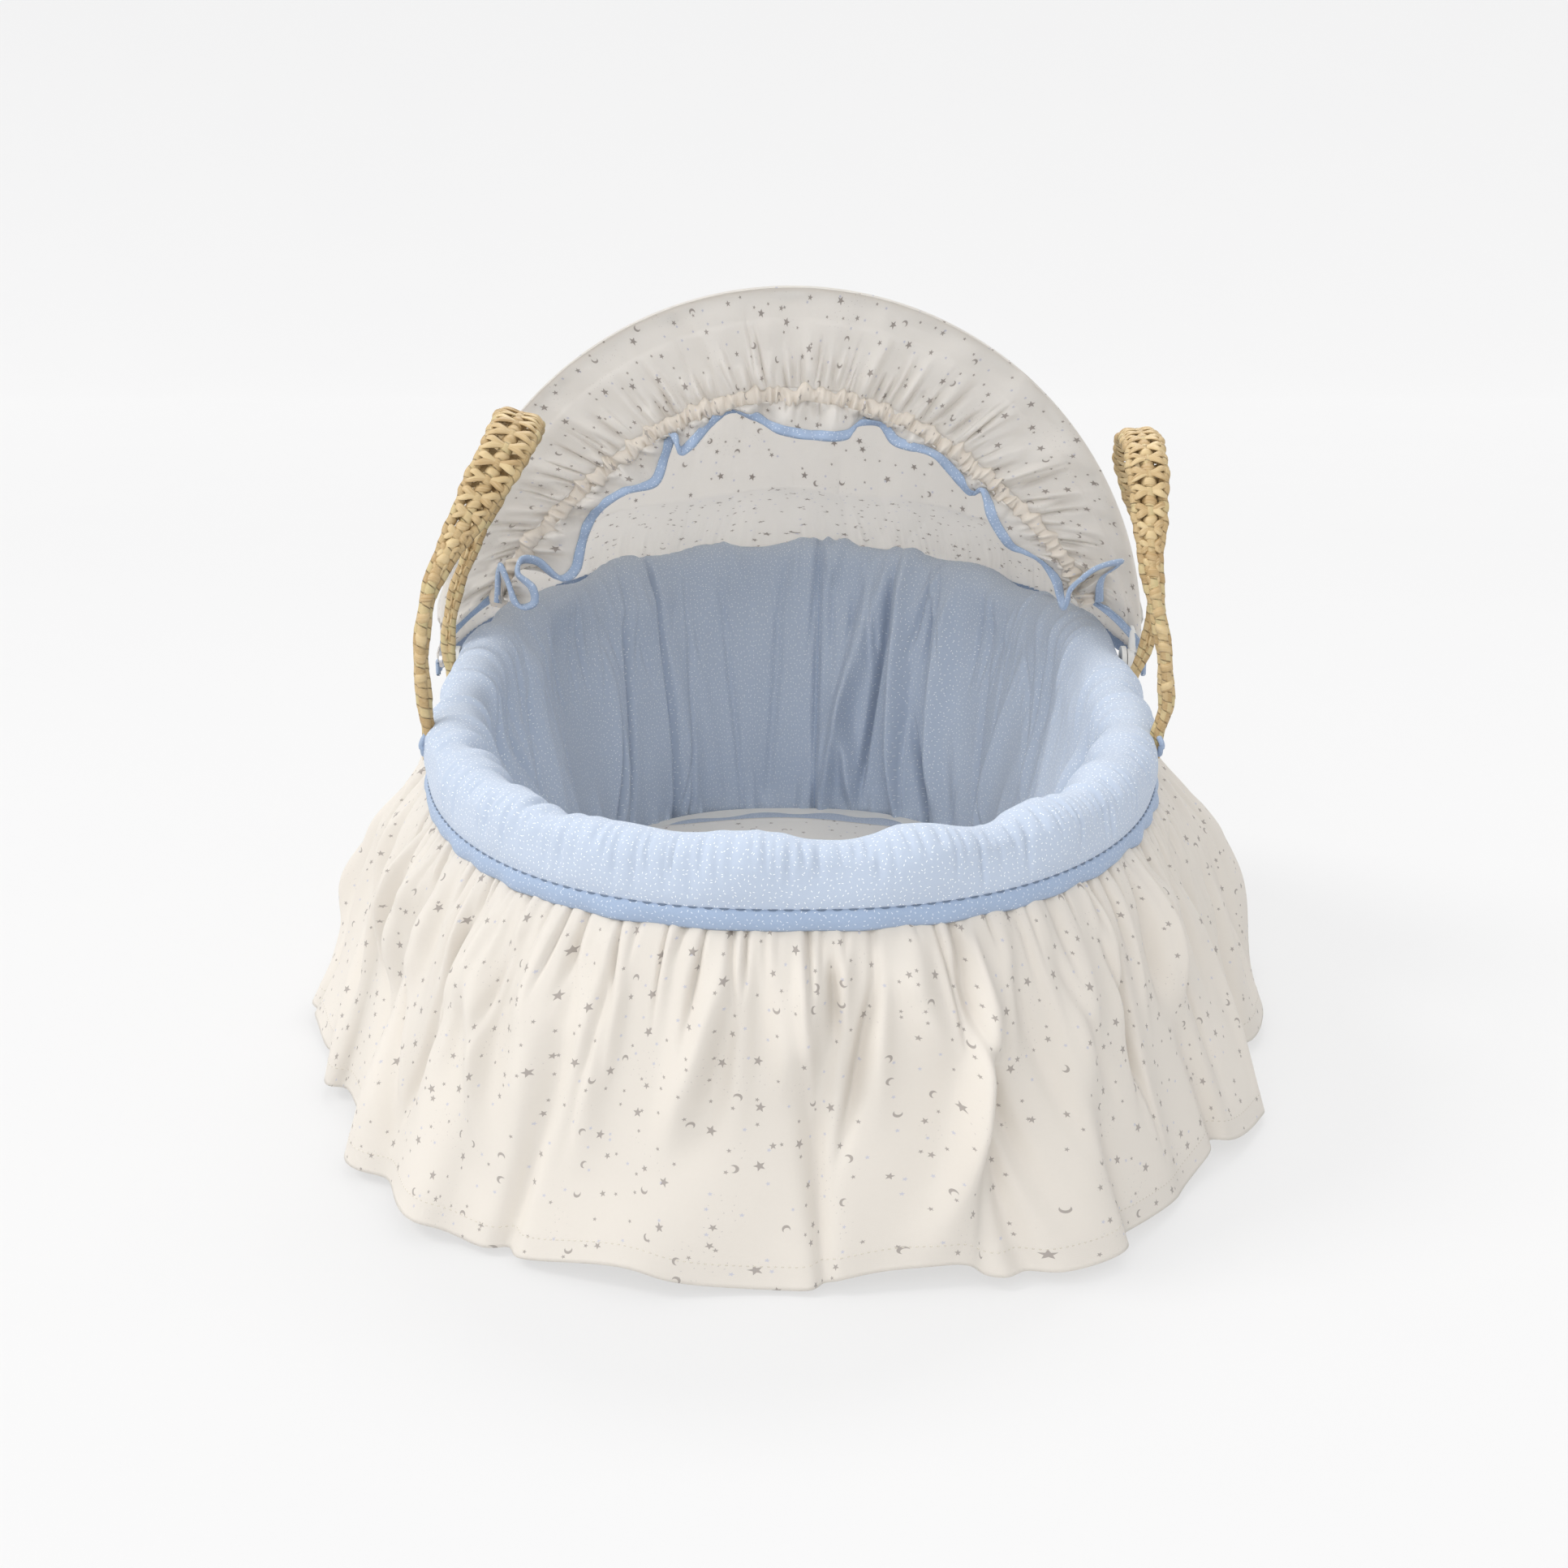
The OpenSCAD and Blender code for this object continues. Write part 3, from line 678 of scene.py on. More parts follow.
def studio():
    scene = bpy.context.scene
    scene.view_settings.view_transform = "Standard"
    lens = bpy.data.cameras.new("camera")
    lens.lens = 50
    lens.sensor_width = 36
    camera = bpy.data.objects.new("camera", lens)
    camera.location = (-0.005, -1.52, 0.57)
    camera.rotation_euler = (math.radians(75), 0, 0)
    scene.collection.objects.link(camera)
    scene.camera = camera
    world = bpy.data.worlds.new("world")
    world.use_nodes = True
    world.node_tree.nodes["Background"].inputs[0].default_value = (0.985, 0.99, 1.0, 1)
    world.node_tree.nodes["Background"].inputs[1].default_value = 0.80
    scene.world = world
    sun_lamp("window", (1.15, -0.05, -1.20), 1.20, 22, (1.0, 0.98, 0.95))
    sun_lamp("behind", (-0.15, -1.20, -1.05), 2.00, 30, (1.0, 0.99, 0.98))
    sun_lamp("fill", (0.25, 1.00, -0.55), 1.00, 60, (1.0, 0.99, 0.98))
    backdrop()


def backdrop():
    """The white floor that curves up behind; it glows, so that the shadows stay faint."""
    shader = Shader("floor")
    place = shader.place()
    tone = shader.noise(place, 3.0, 2.0)
    colour = shader.mix(tone, (0.215, 0.215, 0.218, 1), (0.222, 0.222, 0.222, 1))
    shader.surface(
        colour,
        0.9,
        shader.noise(place, 400.0, 2.0),
        0.00002,
        Emission_Color=(1.0, 1.0, 1.0, 1),
        Emission_Strength=0.615,
    )
    reach, back, bend, high = 9.0, 5.0, 2.2, 5.0
    arc = [(back + bend * math.sin(a), bend - bend * math.cos(a)) for a in np.linspace(0, math.pi / 2, 24)]
    side = [(-reach, 0.0), (0.0, 0.0), *arc, (back + bend, bend + high)]
    points = np.array([[(x, y, z) for x in (-reach, reach)] for y, z in side])
    floor = grid_object("floor", points, shader.material, [0, 1], np.linspace(0, 1, len(side)))


studio()

# ---------------------------------------------------------------- liner

PROFILE = [[1, 0], [0, RIM_H], [0, 1]]  # turns (off, k, z) to a flat profile's off and height
LINER_FRONT = smooth_path(
    [
        (-0.0560, 0.0, 0.040),
        (-0.0535, 0.0, 0.058),
        (-0.0480, 0.25, 0.032),
        (-0.0395, 0.50, 0.012),
        (-0.0320, 0.75, -0.008),
        (-0.0270, 1.0, -0.048),
        (-0.0235, 1.0, -0.026),
        (-0.0195, 1.0, -0.0105),
        (-0.0110, 1.0, -0.0020),
        (0.0000, 1.0, 0.0000),
        (0.0085, 1.0, -0.0030),
        (0.0145, 1.0, -0.0095),
        (0.0165, 1.0, -0.0190),
        (0.0168, 1.0, -0.0290),
        (0.0150, 1.0, -BAND_DEPTH),
    ],
    150,
    PROFILE,
)
LINER_BACK = smooth_path(
    [
        (0.0120, 1.0, -BAND_DEPTH),
        (0.0110, 1.0, -0.0240),
        (0.0050, 1.0, -0.0100),
        (-0.0040, 1.0, -0.0080),
        (-0.0140, 1.0, -0.0100),
        (-0.0175, 1.0, -0.0220),
        (-0.0180, 1.0, -0.0450),
        (-0.0280, 0.60, 0.0000),
        (-0.0400, 0.25, 0.0100),
        (-0.0480, 0.0, 0.0400),
    ],
    40,
    PROFILE,
)[1:-1]
SEAMS = [share(-0.130, True), share(0.028, True), share(-0.150, False), share(0.150, False)]
LINER_COLS = 1400


def around(u, middle, width):
    """A bump round the ring at one share of the way."""
    away = np.mod(u - middle + 0.5, 1.0) - 0.5
    return np.exp(-((away * RIM_LENGTH / width) ** 2))


def liner_surface():
    """The padded liner: up the inside wall, over the rim and down to the stitched line."""
    u = np.arange(LINER_COLS) / LINER_COLS
    front = ring(u[None, :], LINER_FRONT[:, 0:1], LINER_FRONT[:, 1:2], LINER_FRONT[:, 2:3])
    back = ring(u[None, :], LINER_BACK[:, 0:1], LINER_BACK[:, 1:2], LINER_BACK[:, 2:3])
    rows = len(LINER_FRONT)
    flat = np.stack([LINER_FRONT[:, 0], LINER_FRONT[:, 1] * RIM_H + LINER_FRONT[:, 2]], axis=1)
    run = run_along(flat)
    w, uu = run[:, None] / run[-1], u[None, :]
    shape = (rows, LINER_COLS)
    wall = step(w, 0.02, 0.12) * (1 - step(w, 0.62, 0.74))
    over = step(w, 0.50, 0.62) * (1 - step(w, 0.90, 1.0))
    held = 1 - step(w, 0.955, 1.0)
    strong = 0.40 + 0.60 * step(ripple(uu, 0, 2, 7, 5, 0, 5), -0.6, 1.2)
    gathered = ((-0.20, True, 0.10), (0.16, True, 0.12), (-0.21, False, 0.12), (0.22, False, 0.10))
    for x, side_y, width in gathered:
        strong = strong + 0.7 * around(uu, share(x, side_y), width)
    strong = strong * (1 - 0.6 * around(uu, share(-0.05, True), 0.07))
    d = 0.0045 * wall * ripple(uu, 2 * w, 6, 13, 11, 0.8)
    calm = 1 - 0.65 * step(w, 0.55, 0.72) * (1 - step(plan(angle(uu))[1], -0.30, -0.10))
    d = d + calm * strong * pleats(shape, w, RIM_LENGTH, 46, 12, 0.0095, 0.0120, -0.1, 0.95, 0.060)
    d = d - strong * pleats(shape, w, RIM_LENGTH, 44, 18, 0.0040, 0.0095, -0.1, 0.90, 0.065)
    d = d + pleats(shape, w, RIM_LENGTH, 120, 13, 0.0045, 0.0045, -0.05, 0.20, 0.020)
    d = d - strong * pleats(shape, w, RIM_LENGTH, 120, 15, 0.0026, 0.0034, 0.42, 0.34, 0.050)
    d = d + strong * pleats(shape, w, RIM_LENGTH, 90, 16, 0.0045, 0.0030, 0.56, 0.36, 0.040)
    d = d - pleats(shape, w, RIM_LENGTH, 260, 17, 0.0018, 0.0020, 0.82, 0.16, 0.010)
    d = d + 0.0024 * over * ripple(uu, 2 * w, 10, 26, 14, 0.5)
    for seam in SEAMS:
        d = d - 0.0075 * around(uu, seam, 0.0035) * (1 - step(w, 0.72, 0.90))
        d = d + 0.0045 * around(uu, seam, 0.0300) * wall
    puff = 0.004 * np.sin(np.pi * step(w, 0.0, 0.62)) * wall
    x_rim, y_rim = plan(angle(uu))
    lift = 0.014 * bump(y_rim, 0.12, 0.12) + 0.005 * bump(x_rim, 0.0, 0.16) * (y_rim > 0)
    front[..., 2] += lift * step(w, 0.30, 0.60) * (1 - step(w, 0.78, 0.98))
    d = d + 0.0035 * over * bump(y_rim, 0.12, 0.09)
    front = front + normals(front, True, False) * ((d + puff) * held)[..., None]
    points = np.concatenate([front, back])
    uv_v = np.concatenate([run, run[-1] + np.linspace(0.01, 0.25, len(LINER_BACK) + 1)])
    uv_u = np.arange(LINER_COLS + 1) / LINER_COLS * RIM_LENGTH * 1.03
    piece = grid_object("liner_padding", points, finish["blue_padding"], uv_u, uv_v, True, True)
    return piece, front


liner, liner_front = liner_surface()
LINER_NODES = ["liner_" + part for part in ("right", "head", "left", "foot", "roll", "band")]
settle(liner, "root", "blue_padding", *LINER_NODES)


def liner_stitching():
    """The dark thread of the line above the edge band, and the thread down each seam."""
    out = normals(liner_front, True, False)
    parts = Parts()
    row = len(liner_front) - 2
    loop = np.vstack([liner_front[row], liner_front[row][:1]])
    facing = np.vstack([out[row], out[row][:1]])
    stitches(parts, loop, facing, 0.0062, 0.0026, 0.00055)
    line = parts.build("band_stitching", dark_thread)
    settle(line, "root", "blue_padding")
    parts = Parts()
    for seam in SEAMS:
        col = int(round(seam * LINER_COLS)) % LINER_COLS
        rows = slice(4, int(len(liner_front) * 0.74))
        stitches(parts, liner_front[rows, col], out[rows, col], 0.0026, 0.0010, 0.0003)
    seam_thread = parts.build("seam_stitching", blue_thread)
    settle(seam_thread, "root", "blue_padding")


liner_stitching()


def edge_band():
    """The narrow blue band under the stitched line, a folded strip that waves a little."""
    cols, rows = 1000, 9
    u = np.arange(cols) / cols
    s = np.linspace(0, 1, rows)[:, None]
    wave = 0.0008 * ripple(u[None, :], 0, 20, 60, 21, 0) * s
    off = 0.0148 + 0.0020 * np.sin(np.pi * s) ** 0.6 + wave
    points = ring(u[None, :], off, 1.0, -BAND_DEPTH + 0.0012 - (EDGE_DEPTH - BAND_DEPTH + 0.0010) * s)
    length, depth = cut(points, True)
    around_u = np.arange(cols + 1) / cols * length
    band = grid_object("edge_band", points, finish["blue_binding"], around_u, s[:, 0] * depth, True)
    thicken(band, 0.0022)
    settle(band, "root", "blue_padding", "liner_edge")


edge_band()

# ---------------------------------------------------------------- skirt

SKIRT_COLS, SKIRT_ROWS = 2000, 80


def skirt_folds(shape, s):
    """How far the gathered cloth stands out: tight gathers at the top that run into broad folds."""
    length = 2.3
    fall = step(s, 0.0, 1.0) ** 0.8
    d = -pleats(shape, s, length, 190, 31, 0.0022, 0.0048, -0.10, 0.42, 0.010)
    d = d + pleats(shape, s, length, 120, 32, 0.0055, 0.0055, -0.06, 0.62, 0.015)
    d = d - pleats(shape, s, length, 64, 33, 0.0048, 0.0090, 0.00, 0.85, 0.030)
    d = d + pleats(shape, s, length, 50, 34, 0.0110, 0.0130, 0.03, 0.95, 0.030)
    d = d + pleats(shape, s, length, 20, 35, 0.0340, 0.0200, 0.10, 3.0, 0.030)
    d = d - pleats(shape, s, length, 26, 36, 0.0085, 0.0105, 0.12, 1.6, 0.035)
    return d - 0.008 * fall


def skirt_surface():
    """The gathered skirt from under the band to the hem."""
    u = np.arange(SKIRT_COLS)[None, :] / SKIRT_COLS
    s = np.linspace(0, 1, SKIRT_ROWS)[:, None]
    spread = s**0.76
    y_side = plan(angle(u))[1]
    waist = 0.016 * bump(y_side, 0.06, 0.11) - 0.022 * bump(y_side, -0.19, 0.09)
    d = skirt_folds((SKIRT_ROWS, SKIRT_COLS), s)
    d = d + waist * spread + 0.0040 * spread * ripple(u, 0.6 * s, 4, 11, 37, 0.6)
    dx = 0.0110 + (HEM.x - 0.006 - HALF_W - 0.0110) * spread + d
    dy = 0.0110 + (HEM.y - 0.006 - HALF_L - 0.0110) * spread + d
    x, y = plan(angle(u + 0.0020 * spread * ripple(u, 1.5 * s, 20, 40, 38, 1.0)), dx, dy)
    top = crest(angle(u)) - EDGE_DEPTH + 0.004
    hem = 0.0085 + 0.0022 * ripple(u, 0, 9, 20, 39, 0)
    z = top + (hem - top) * s
    return np.stack(np.broadcast_arrays(x, y, z), axis=-1), s


def skirt():
    points, s = skirt_surface()
    length, depth = cut(points, True)
    around_u = np.arange(SKIRT_COLS + 1) / SKIRT_COLS * length
    piece = grid_object("skirt", points, finish["star_skirt"], around_u, s[:, 0] * depth, True)
    thicken(piece, 0.0010)
    settle(piece, "root", "star_skirt", "skirt_right", "skirt_head", "skirt_left", "skirt_foot")
    out = normals(points, True, False)
    turned = points[-6:] - out[-6:] * 0.0016
    hem = grid_object("skirt_hem_fold", turned, finish["star_skirt"], around_u, s[-6:, 0] * depth, True)
    thicken(hem, 0.0010)
    settle(hem, "root", "star_skirt", "skirt_hem")
    parts = Parts()
    row = points[-6]
    stitches(parts, np.vstack([row, row[:1]]), np.vstack([out[-6], out[-6][:1]]), 0.0026, 0.0012, 0.0004)
    line = parts.build("hem_stitching", cream_thread)
    settle(line, "root", "star_skirt")


skirt()

# ---------------------------------------------------------------- mattress and coverlet


def mattress():
    """The fitted sheet over the mattress, crowned a little and rounded at its edge."""
    cols, rows = 360, 46
    u = np.arange(cols)[None, :] / cols
    v = np.linspace(0, 1, rows)[:, None]
    t = angle(u)
    share_out = np.clip(v / 0.80, 0, 1)
    edge = 0.016
    x, y = plan(t, MATTRESS_W - HALF_W, MATTRESS_L - HALF_L)
    corner = np.clip((share_out - 0.90) / 0.10, 0, 1)
    z = MATTRESS_TOP - 0.001 + 0.0008 * (1 - share_out**2)
    z = z - edge * (1 - np.sqrt(np.maximum(1 - corner**2, 0)))
    side = np.clip((v - 0.80) / 0.20, 0, 1)
    z = z - side * (MATTRESS_TOP - edge - 0.014)
    wave = 0.0005 * ripple(u, 3 * v, 9, 30, 41, 1.0) * step(v, 0.5, 0.8)
    points = np.stack(np.broadcast_arrays(x * share_out, y * share_out, z + wave), axis=-1)
    points = points[::-1]
    across = np.linspace(0, 1, cols + 1) * 1.7
    down = np.linspace(0.22, 0, rows)
    piece = grid_object("mattress_sheet", points, finish["blue_sheet"], across, down, True)
    flat_uv(piece)
    settle(piece, "root", "blue_sheet", "mattress_cover")


def flat_uv(piece):
    """UVs straight from above, for cloth that lies flat."""
    mesh = piece.data
    loops = np.zeros(len(mesh.loops), int)
    mesh.loops.foreach_get("vertex_index", loops)
    co = np.zeros(len(mesh.vertices) * 3)
    mesh.vertices.foreach_get("co", co)
    mesh.uv_layers["cloth"].data.foreach_set("uv", co.reshape(-1, 3)[loops][:, :2].astype(np.float32).ravel())


def coverlet():
    """The star coverlet, laid over the mattress from the foot to its folded edge."""
    cols, rows = 150, 210
    low_y = -MATTRESS_L + 0.004
    y = np.linspace(low_y, COVERLET_END - 0.010, rows)[:, None]
    n = np.where(y < 0, FOOT_N, HEAD_N)
    half = MATTRESS_W * np.maximum(1 - (np.abs(y) / MATTRESS_L) ** n, 0) ** (1 / n)
    x = np.linspace(1, -1, cols)[None, :] * half * 0.985
    yy = y + 0.004 * np.cos(x / 0.05) * step(y, 0.18, COVERLET_END)
    inset = np.minimum(half * 0.985 - np.abs(x), y - low_y)
    z = MATTRESS_TOP + 0.0018 - 0.010 * (1 - step(inset, 0.0, 0.030))
    rng = np.random.default_rng(51)
    for _ in range(14):
        a, k, phase = rng.uniform(-0.9, 0.9), rng.uniform(18, 60), rng.uniform(0, 6.3)
        z = z + 0.00045 * np.cos(k * (x * math.sin(a) + y * math.cos(a)) + phase)
    z = z + 0.0012 * step(yy, COVERLET_END - 0.012, COVERLET_END - 0.004)
    points = np.stack(np.broadcast_arrays(x, yy, z), axis=-1)
    uv_u, uv_v = np.linspace(0, 1, cols), np.linspace(0, 1, rows)
    piece = grid_object("coverlet_sheet", points, finish["star_coverlet"], uv_u, uv_v)
    flat_uv(piece)
    thicken(piece, 0.0020, 1.0)
    settle(piece, "root", "star_coverlet", "coverlet")


mattress()
coverlet()

# ---------------------------------------------------------------- hood


def arch(radius, s):
    """x and height above the pivots of the hoop's half circle at angle s, 0 on the right."""
    return radius * np.cos(s), HOOP_LEG + radius * np.sin(s)


def turned(x, r, phi):
    """A point r from the pivots' line, at an angle phi up from the head end."""
    return np.stack(np.broadcast_arrays(x, HOOD_Y + r * np.cos(phi), PIVOT_Z + r * np.sin(phi)), axis=-1)


HOOD_COLS = 420


def hood_cloth():
    """One sheet from the hoop back over the head end, down to the bound edge outside the rim."""
    low = math.radians(4)
    s = np.linspace(low, math.pi - low, HOOD_COLS)[None, :]
    phis = np.radians(np.concatenate([np.linspace(91.5, 20, 110)]))[:, None]
    back = step(phis, math.radians(90), math.radians(64))
    radius = 0.2604 + 0.0030 * back
    x, r = arch(radius, s)
    upper = turned(x, r, phis)
    t = s
    off = 0.0205 + 0.014 * np.abs(np.cos(t))
    ex, ey = plan(t, off, off)
    edge = np.stack(np.broadcast_arrays(ex, ey, crest(t) + EDGE_Z), axis=-1)
    ey_low = np.maximum(edge[..., 1], HOOD_Y + 0.004)
    edge[..., 1] = ey_low
    share_down = np.linspace(0, 1, 60)[1:, None, None]
    bulge = 0.006 * np.sin(np.pi * share_down)
    lower = upper[-1:] + (edge - upper[-1:]) * share_down
    points = np.concatenate([upper, lower])
    out = normals(points, False, False)
    w = np.linspace(0, 1, len(points))[:, None]
    arc = (s - low) / (math.pi - 2 * low)
    free = step(w, 0.02, 0.2) * (1 - step(w, 0.93, 1.0))
    d = -0.0040 * np.sin(np.pi * np.clip(w / 0.72, 0, 1)) * np.sin(s)
    d = d + 0.0016 * free * ripple(arc, 5 * w, 3, 9, 61, 1.2)
    d = d + 0.0016 * free * (creases(arc, 6 * w, 6, 16, 62, 1.4) - 0.6)
    d = d + 0.0018 * step(w, 0.70, 0.98) * (creases(arc, 1.0 * w, 45, 90, 63, 0.6) - 0.6)
    points = points + out * d[..., None] + out * np.concatenate([np.zeros((len(upper), 1, 1)), bulge])
    wide = math.pi * HOOP_R
    longest_row, longest_column = cut(points)[0], cut(points.swapaxes(0, 1))[0]
    piece = grid_object("hood_cloth", points, finish["star_hood"], arc[0] * wide, w[:, 0] * longest_column)
    thicken(piece, 0.0008)
    settle(piece, None, "star_hood", "hood_front", "hood_rear")
    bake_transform(piece)
    binding_points = np.concatenate([points[-1:] + [0, 0, 0.0005], points[-1:] + [0, 0, -0.0095]])
    fold = smooth_rows(binding_points, 8)
    fold = fold + normals(fold, False, False) * 0.0016
    length, depth = cut(fold)
    down = np.linspace(0, depth, 8)
    binding = grid_object("hood_edge_binding", fold, finish["blue_binding"], arc[0] * length, down)
    thicken(binding, 0.0018)
    settle(binding, None, "blue_binding", "hood_rear_binding")
    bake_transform(binding)


def smooth_rows(rows, count):
    """More rows between the given ones, in straight steps."""
    at = np.linspace(0, len(rows) - 1, count)
    i = np.minimum(at.astype(int), len(rows) - 2)
    f = (at - i)[:, None, None]
    return rows[i] * (1 - f) + rows[i + 1] * f


def polar(radius, s, y):
    """Points in the hoop's plane."""
    x, r = arch(radius, s)
    return np.stack(np.broadcast_arrays(x, y, PIVOT_Z + r), axis=-1)


def casing_radius(s):
    """The elastic's distance from the middle of the hoop: it spreads towards its two ends."""
    from_end = np.degrees(np.minimum(s, math.pi - s))
    return 0.186 + 0.040 * np.exp(-((from_end / 28) ** 2))


def facing():
    """The gathered strip in front of the hoop, smooth outside and drawn up by the elastic inside."""
    rows, cols = 64, 1300
    v = np.linspace(0, 1, rows)[:, None]
    arc = np.linspace(0, 1, cols)[None, :]
    low = np.radians(-1.2 + 9.0 * v)
    s = low + (math.pi - 2 * low) * arc
    outer = HOOP_R + 0.0052
    radius = outer + (casing_radius(s) + 0.003 - outer) * v
    shape, length = (rows, cols), 0.72
    out = 0.0040 + 0.0015 * step(v, 0.30, 0.36) * (1 - step(v, 0.38, 0.60))
    out = out + 0.0018 * step(v, 0.02, 0.20) * ripple(arc, 1.5 * v, 8, 18, 71, 0.8)
    out = out + pleats(shape, 1 - v, length, 72, 72, 0.0040, 0.0062, -0.08, 0.80, 0.005, False)
    out = out - pleats(shape, 1 - v, length, 84, 73, 0.0020, 0.0042, -0.08, 0.72, 0.005, False)
    out = out + pleats(shape, v, length, 26, 74, 0.0080, 0.0022, -0.05, 0.9, 0.012, False)
    points = polar(radius, s, HOOD_Y - out)
    length, depth = cut(points)
    cloth = grid_object("hood_facing_cloth", points, finish["star_hood"], arc[0] * length, v[:, 0] * depth)
    thicken(cloth, 0.0008)
    settle(cloth, "hood_front", "star_hood", "hood_facing")
    for name, low_edge in (("right", points[:, :40]), ("left", points[:, ::-1][:, :40])):
        facing_hem(name, low_edge)


def facing_hem(name, edge):
    """A binding of even width over the facing's lower edge, given as columns from that edge inwards."""
    across = np.linspace(0, FACING_HEM, 16)
    laid = np.empty((len(edge), len(across), 3))
    for index, line in enumerate(edge):
        run = run_along(line)
        laid[index] = np.stack([np.interp(across, run, line[:, axis]) for axis in range(3)], axis=-1)
    lip = 1.5 * laid[:, :1] - 0.5 * laid[:, 1:2]
    strip = np.concatenate([laid[:, ::-1] + [0, 0.0014, 0], lip, laid - [0, 0.0014, 0]], axis=1)
    width, length = cut(strip)
    across = np.linspace(0, width, strip.shape[1])
    along = np.linspace(0, length, len(edge))
    piece = grid_object(f"facing_hem_{name}", strip, finish["blue_binding"], across, along)
    thicken(piece, 0.0008)
    settle(piece, "hood_front", "blue_binding")


def casing():
    """The ruched tube that holds the elastic."""
    rows, cols = 18, 1500
    low = math.radians(7.5)
    arc = np.linspace(0, 1, cols)[None, :]
    s = low + (math.pi - 2 * low) * arc
    turn = np.linspace(0, 2 * np.pi, rows, endpoint=False)[:, None]
    shape = (rows, cols)
    lengthwise = 0.5 + 0.5 * np.cos(turn)
    ruche = pleats(shape, lengthwise, 0.60, 105, 75, 0.0021, 0.0034, -0.4, 2.4, 0.003, False)
    ruche = ruche - pleats(shape, lengthwise, 0.60, 100, 76, 0.0013, 0.0030, -0.4, 2.4, 0.003, False)
    wide = 0.0060 + 0.5 * ruche + 0.0008 * ripple(arc, 0, 30, 70, 77, 0)
    deep = 0.0028 + 0.9 * ruche
    radius = casing_radius(s) - 0.002 + 0.0012 * ripple(arc, 0, 12, 40, 78, 0) + wide * np.cos(turn)
    y = HOOD_Y - 0.0055 - deep * np.sin(turn)
    points = polar(radius, s, y)
    down = np.linspace(0, 0.028, rows + 1)
    tube = grid_object("elastic_casing", points, finish["ruched_hood"], arc[0] * 1.10, down, False, True)
    settle(tube, "hood_front", "star_hood", "hood_elastic")


# The ruffle's bound edge from the right end over to the left one: across, out to the front, height
RUFFLE_EDGE = [
    (0.230, 0.006, 0.284),
    (0.229, 0.016, 0.303),
    (0.241, 0.024, 0.317),
    (0.219, 0.028, 0.311),
    (0.2045, 0.024, 0.296),
    (0.2000, 0.014, 0.280),
    (0.193, 0.002, 0.300),
    (0.181, 0.000, 0.315),
    (0.163, 0.002, 0.322),
    (0.154, 0.009, 0.331),
    (0.144, 0.012, 0.348),
    (0.139, 0.008, 0.366),
    (0.131, -0.003, 0.362),
    (0.116, 0.003, 0.378),
    (0.102, 0.009, 0.392),
    (0.086, 0.008, 0.396),
    (0.074, 0.003, 0.400),
    (0.064, -0.006, 0.412),
    (0.048, 0.000, 0.412),
    (0.040, 0.009, 0.404),
    (0.016, 0.011, 0.404),
    (-0.008, 0.009, 0.408),
    (-0.026, 0.002, 0.417),
    (-0.044, -0.004, 0.422),
    (-0.058, 0.000, 0.412),
    (-0.072, 0.008, 0.397),
    (-0.080, 0.011, 0.393),
    (-0.0835, 0.004, 0.406),
    (-0.0900, -0.002, 0.390),
    (-0.098, 0.004, 0.370),
    (-0.120, 0.009, 0.364),
    (-0.140, 0.004, 0.350),
    (-0.151, -0.004, 0.330),
    (-0.157, 0.000, 0.306),
    (-0.168, 0.010, 0.301),
    (-0.184, 0.012, 0.316),
    (-0.196, 0.018, 0.318),
    (-0.198, 0.026, 0.308),
    (-0.186, 0.032, 0.299),
    (-0.186, 0.030, 0.286),
    (-0.199, 0.026, 0.285),
    (-0.212, 0.020, 0.314),
    (-0.217, 0.012, 0.284),
]


def smooth_line(values, half):
    """A running average, with the ends held."""
    kernel = np.hanning(2 * half + 3)[1:-1]
    padded = np.pad(values, half, mode="edge")
    return np.convolve(padded, kernel / kernel.sum(), mode="valid")


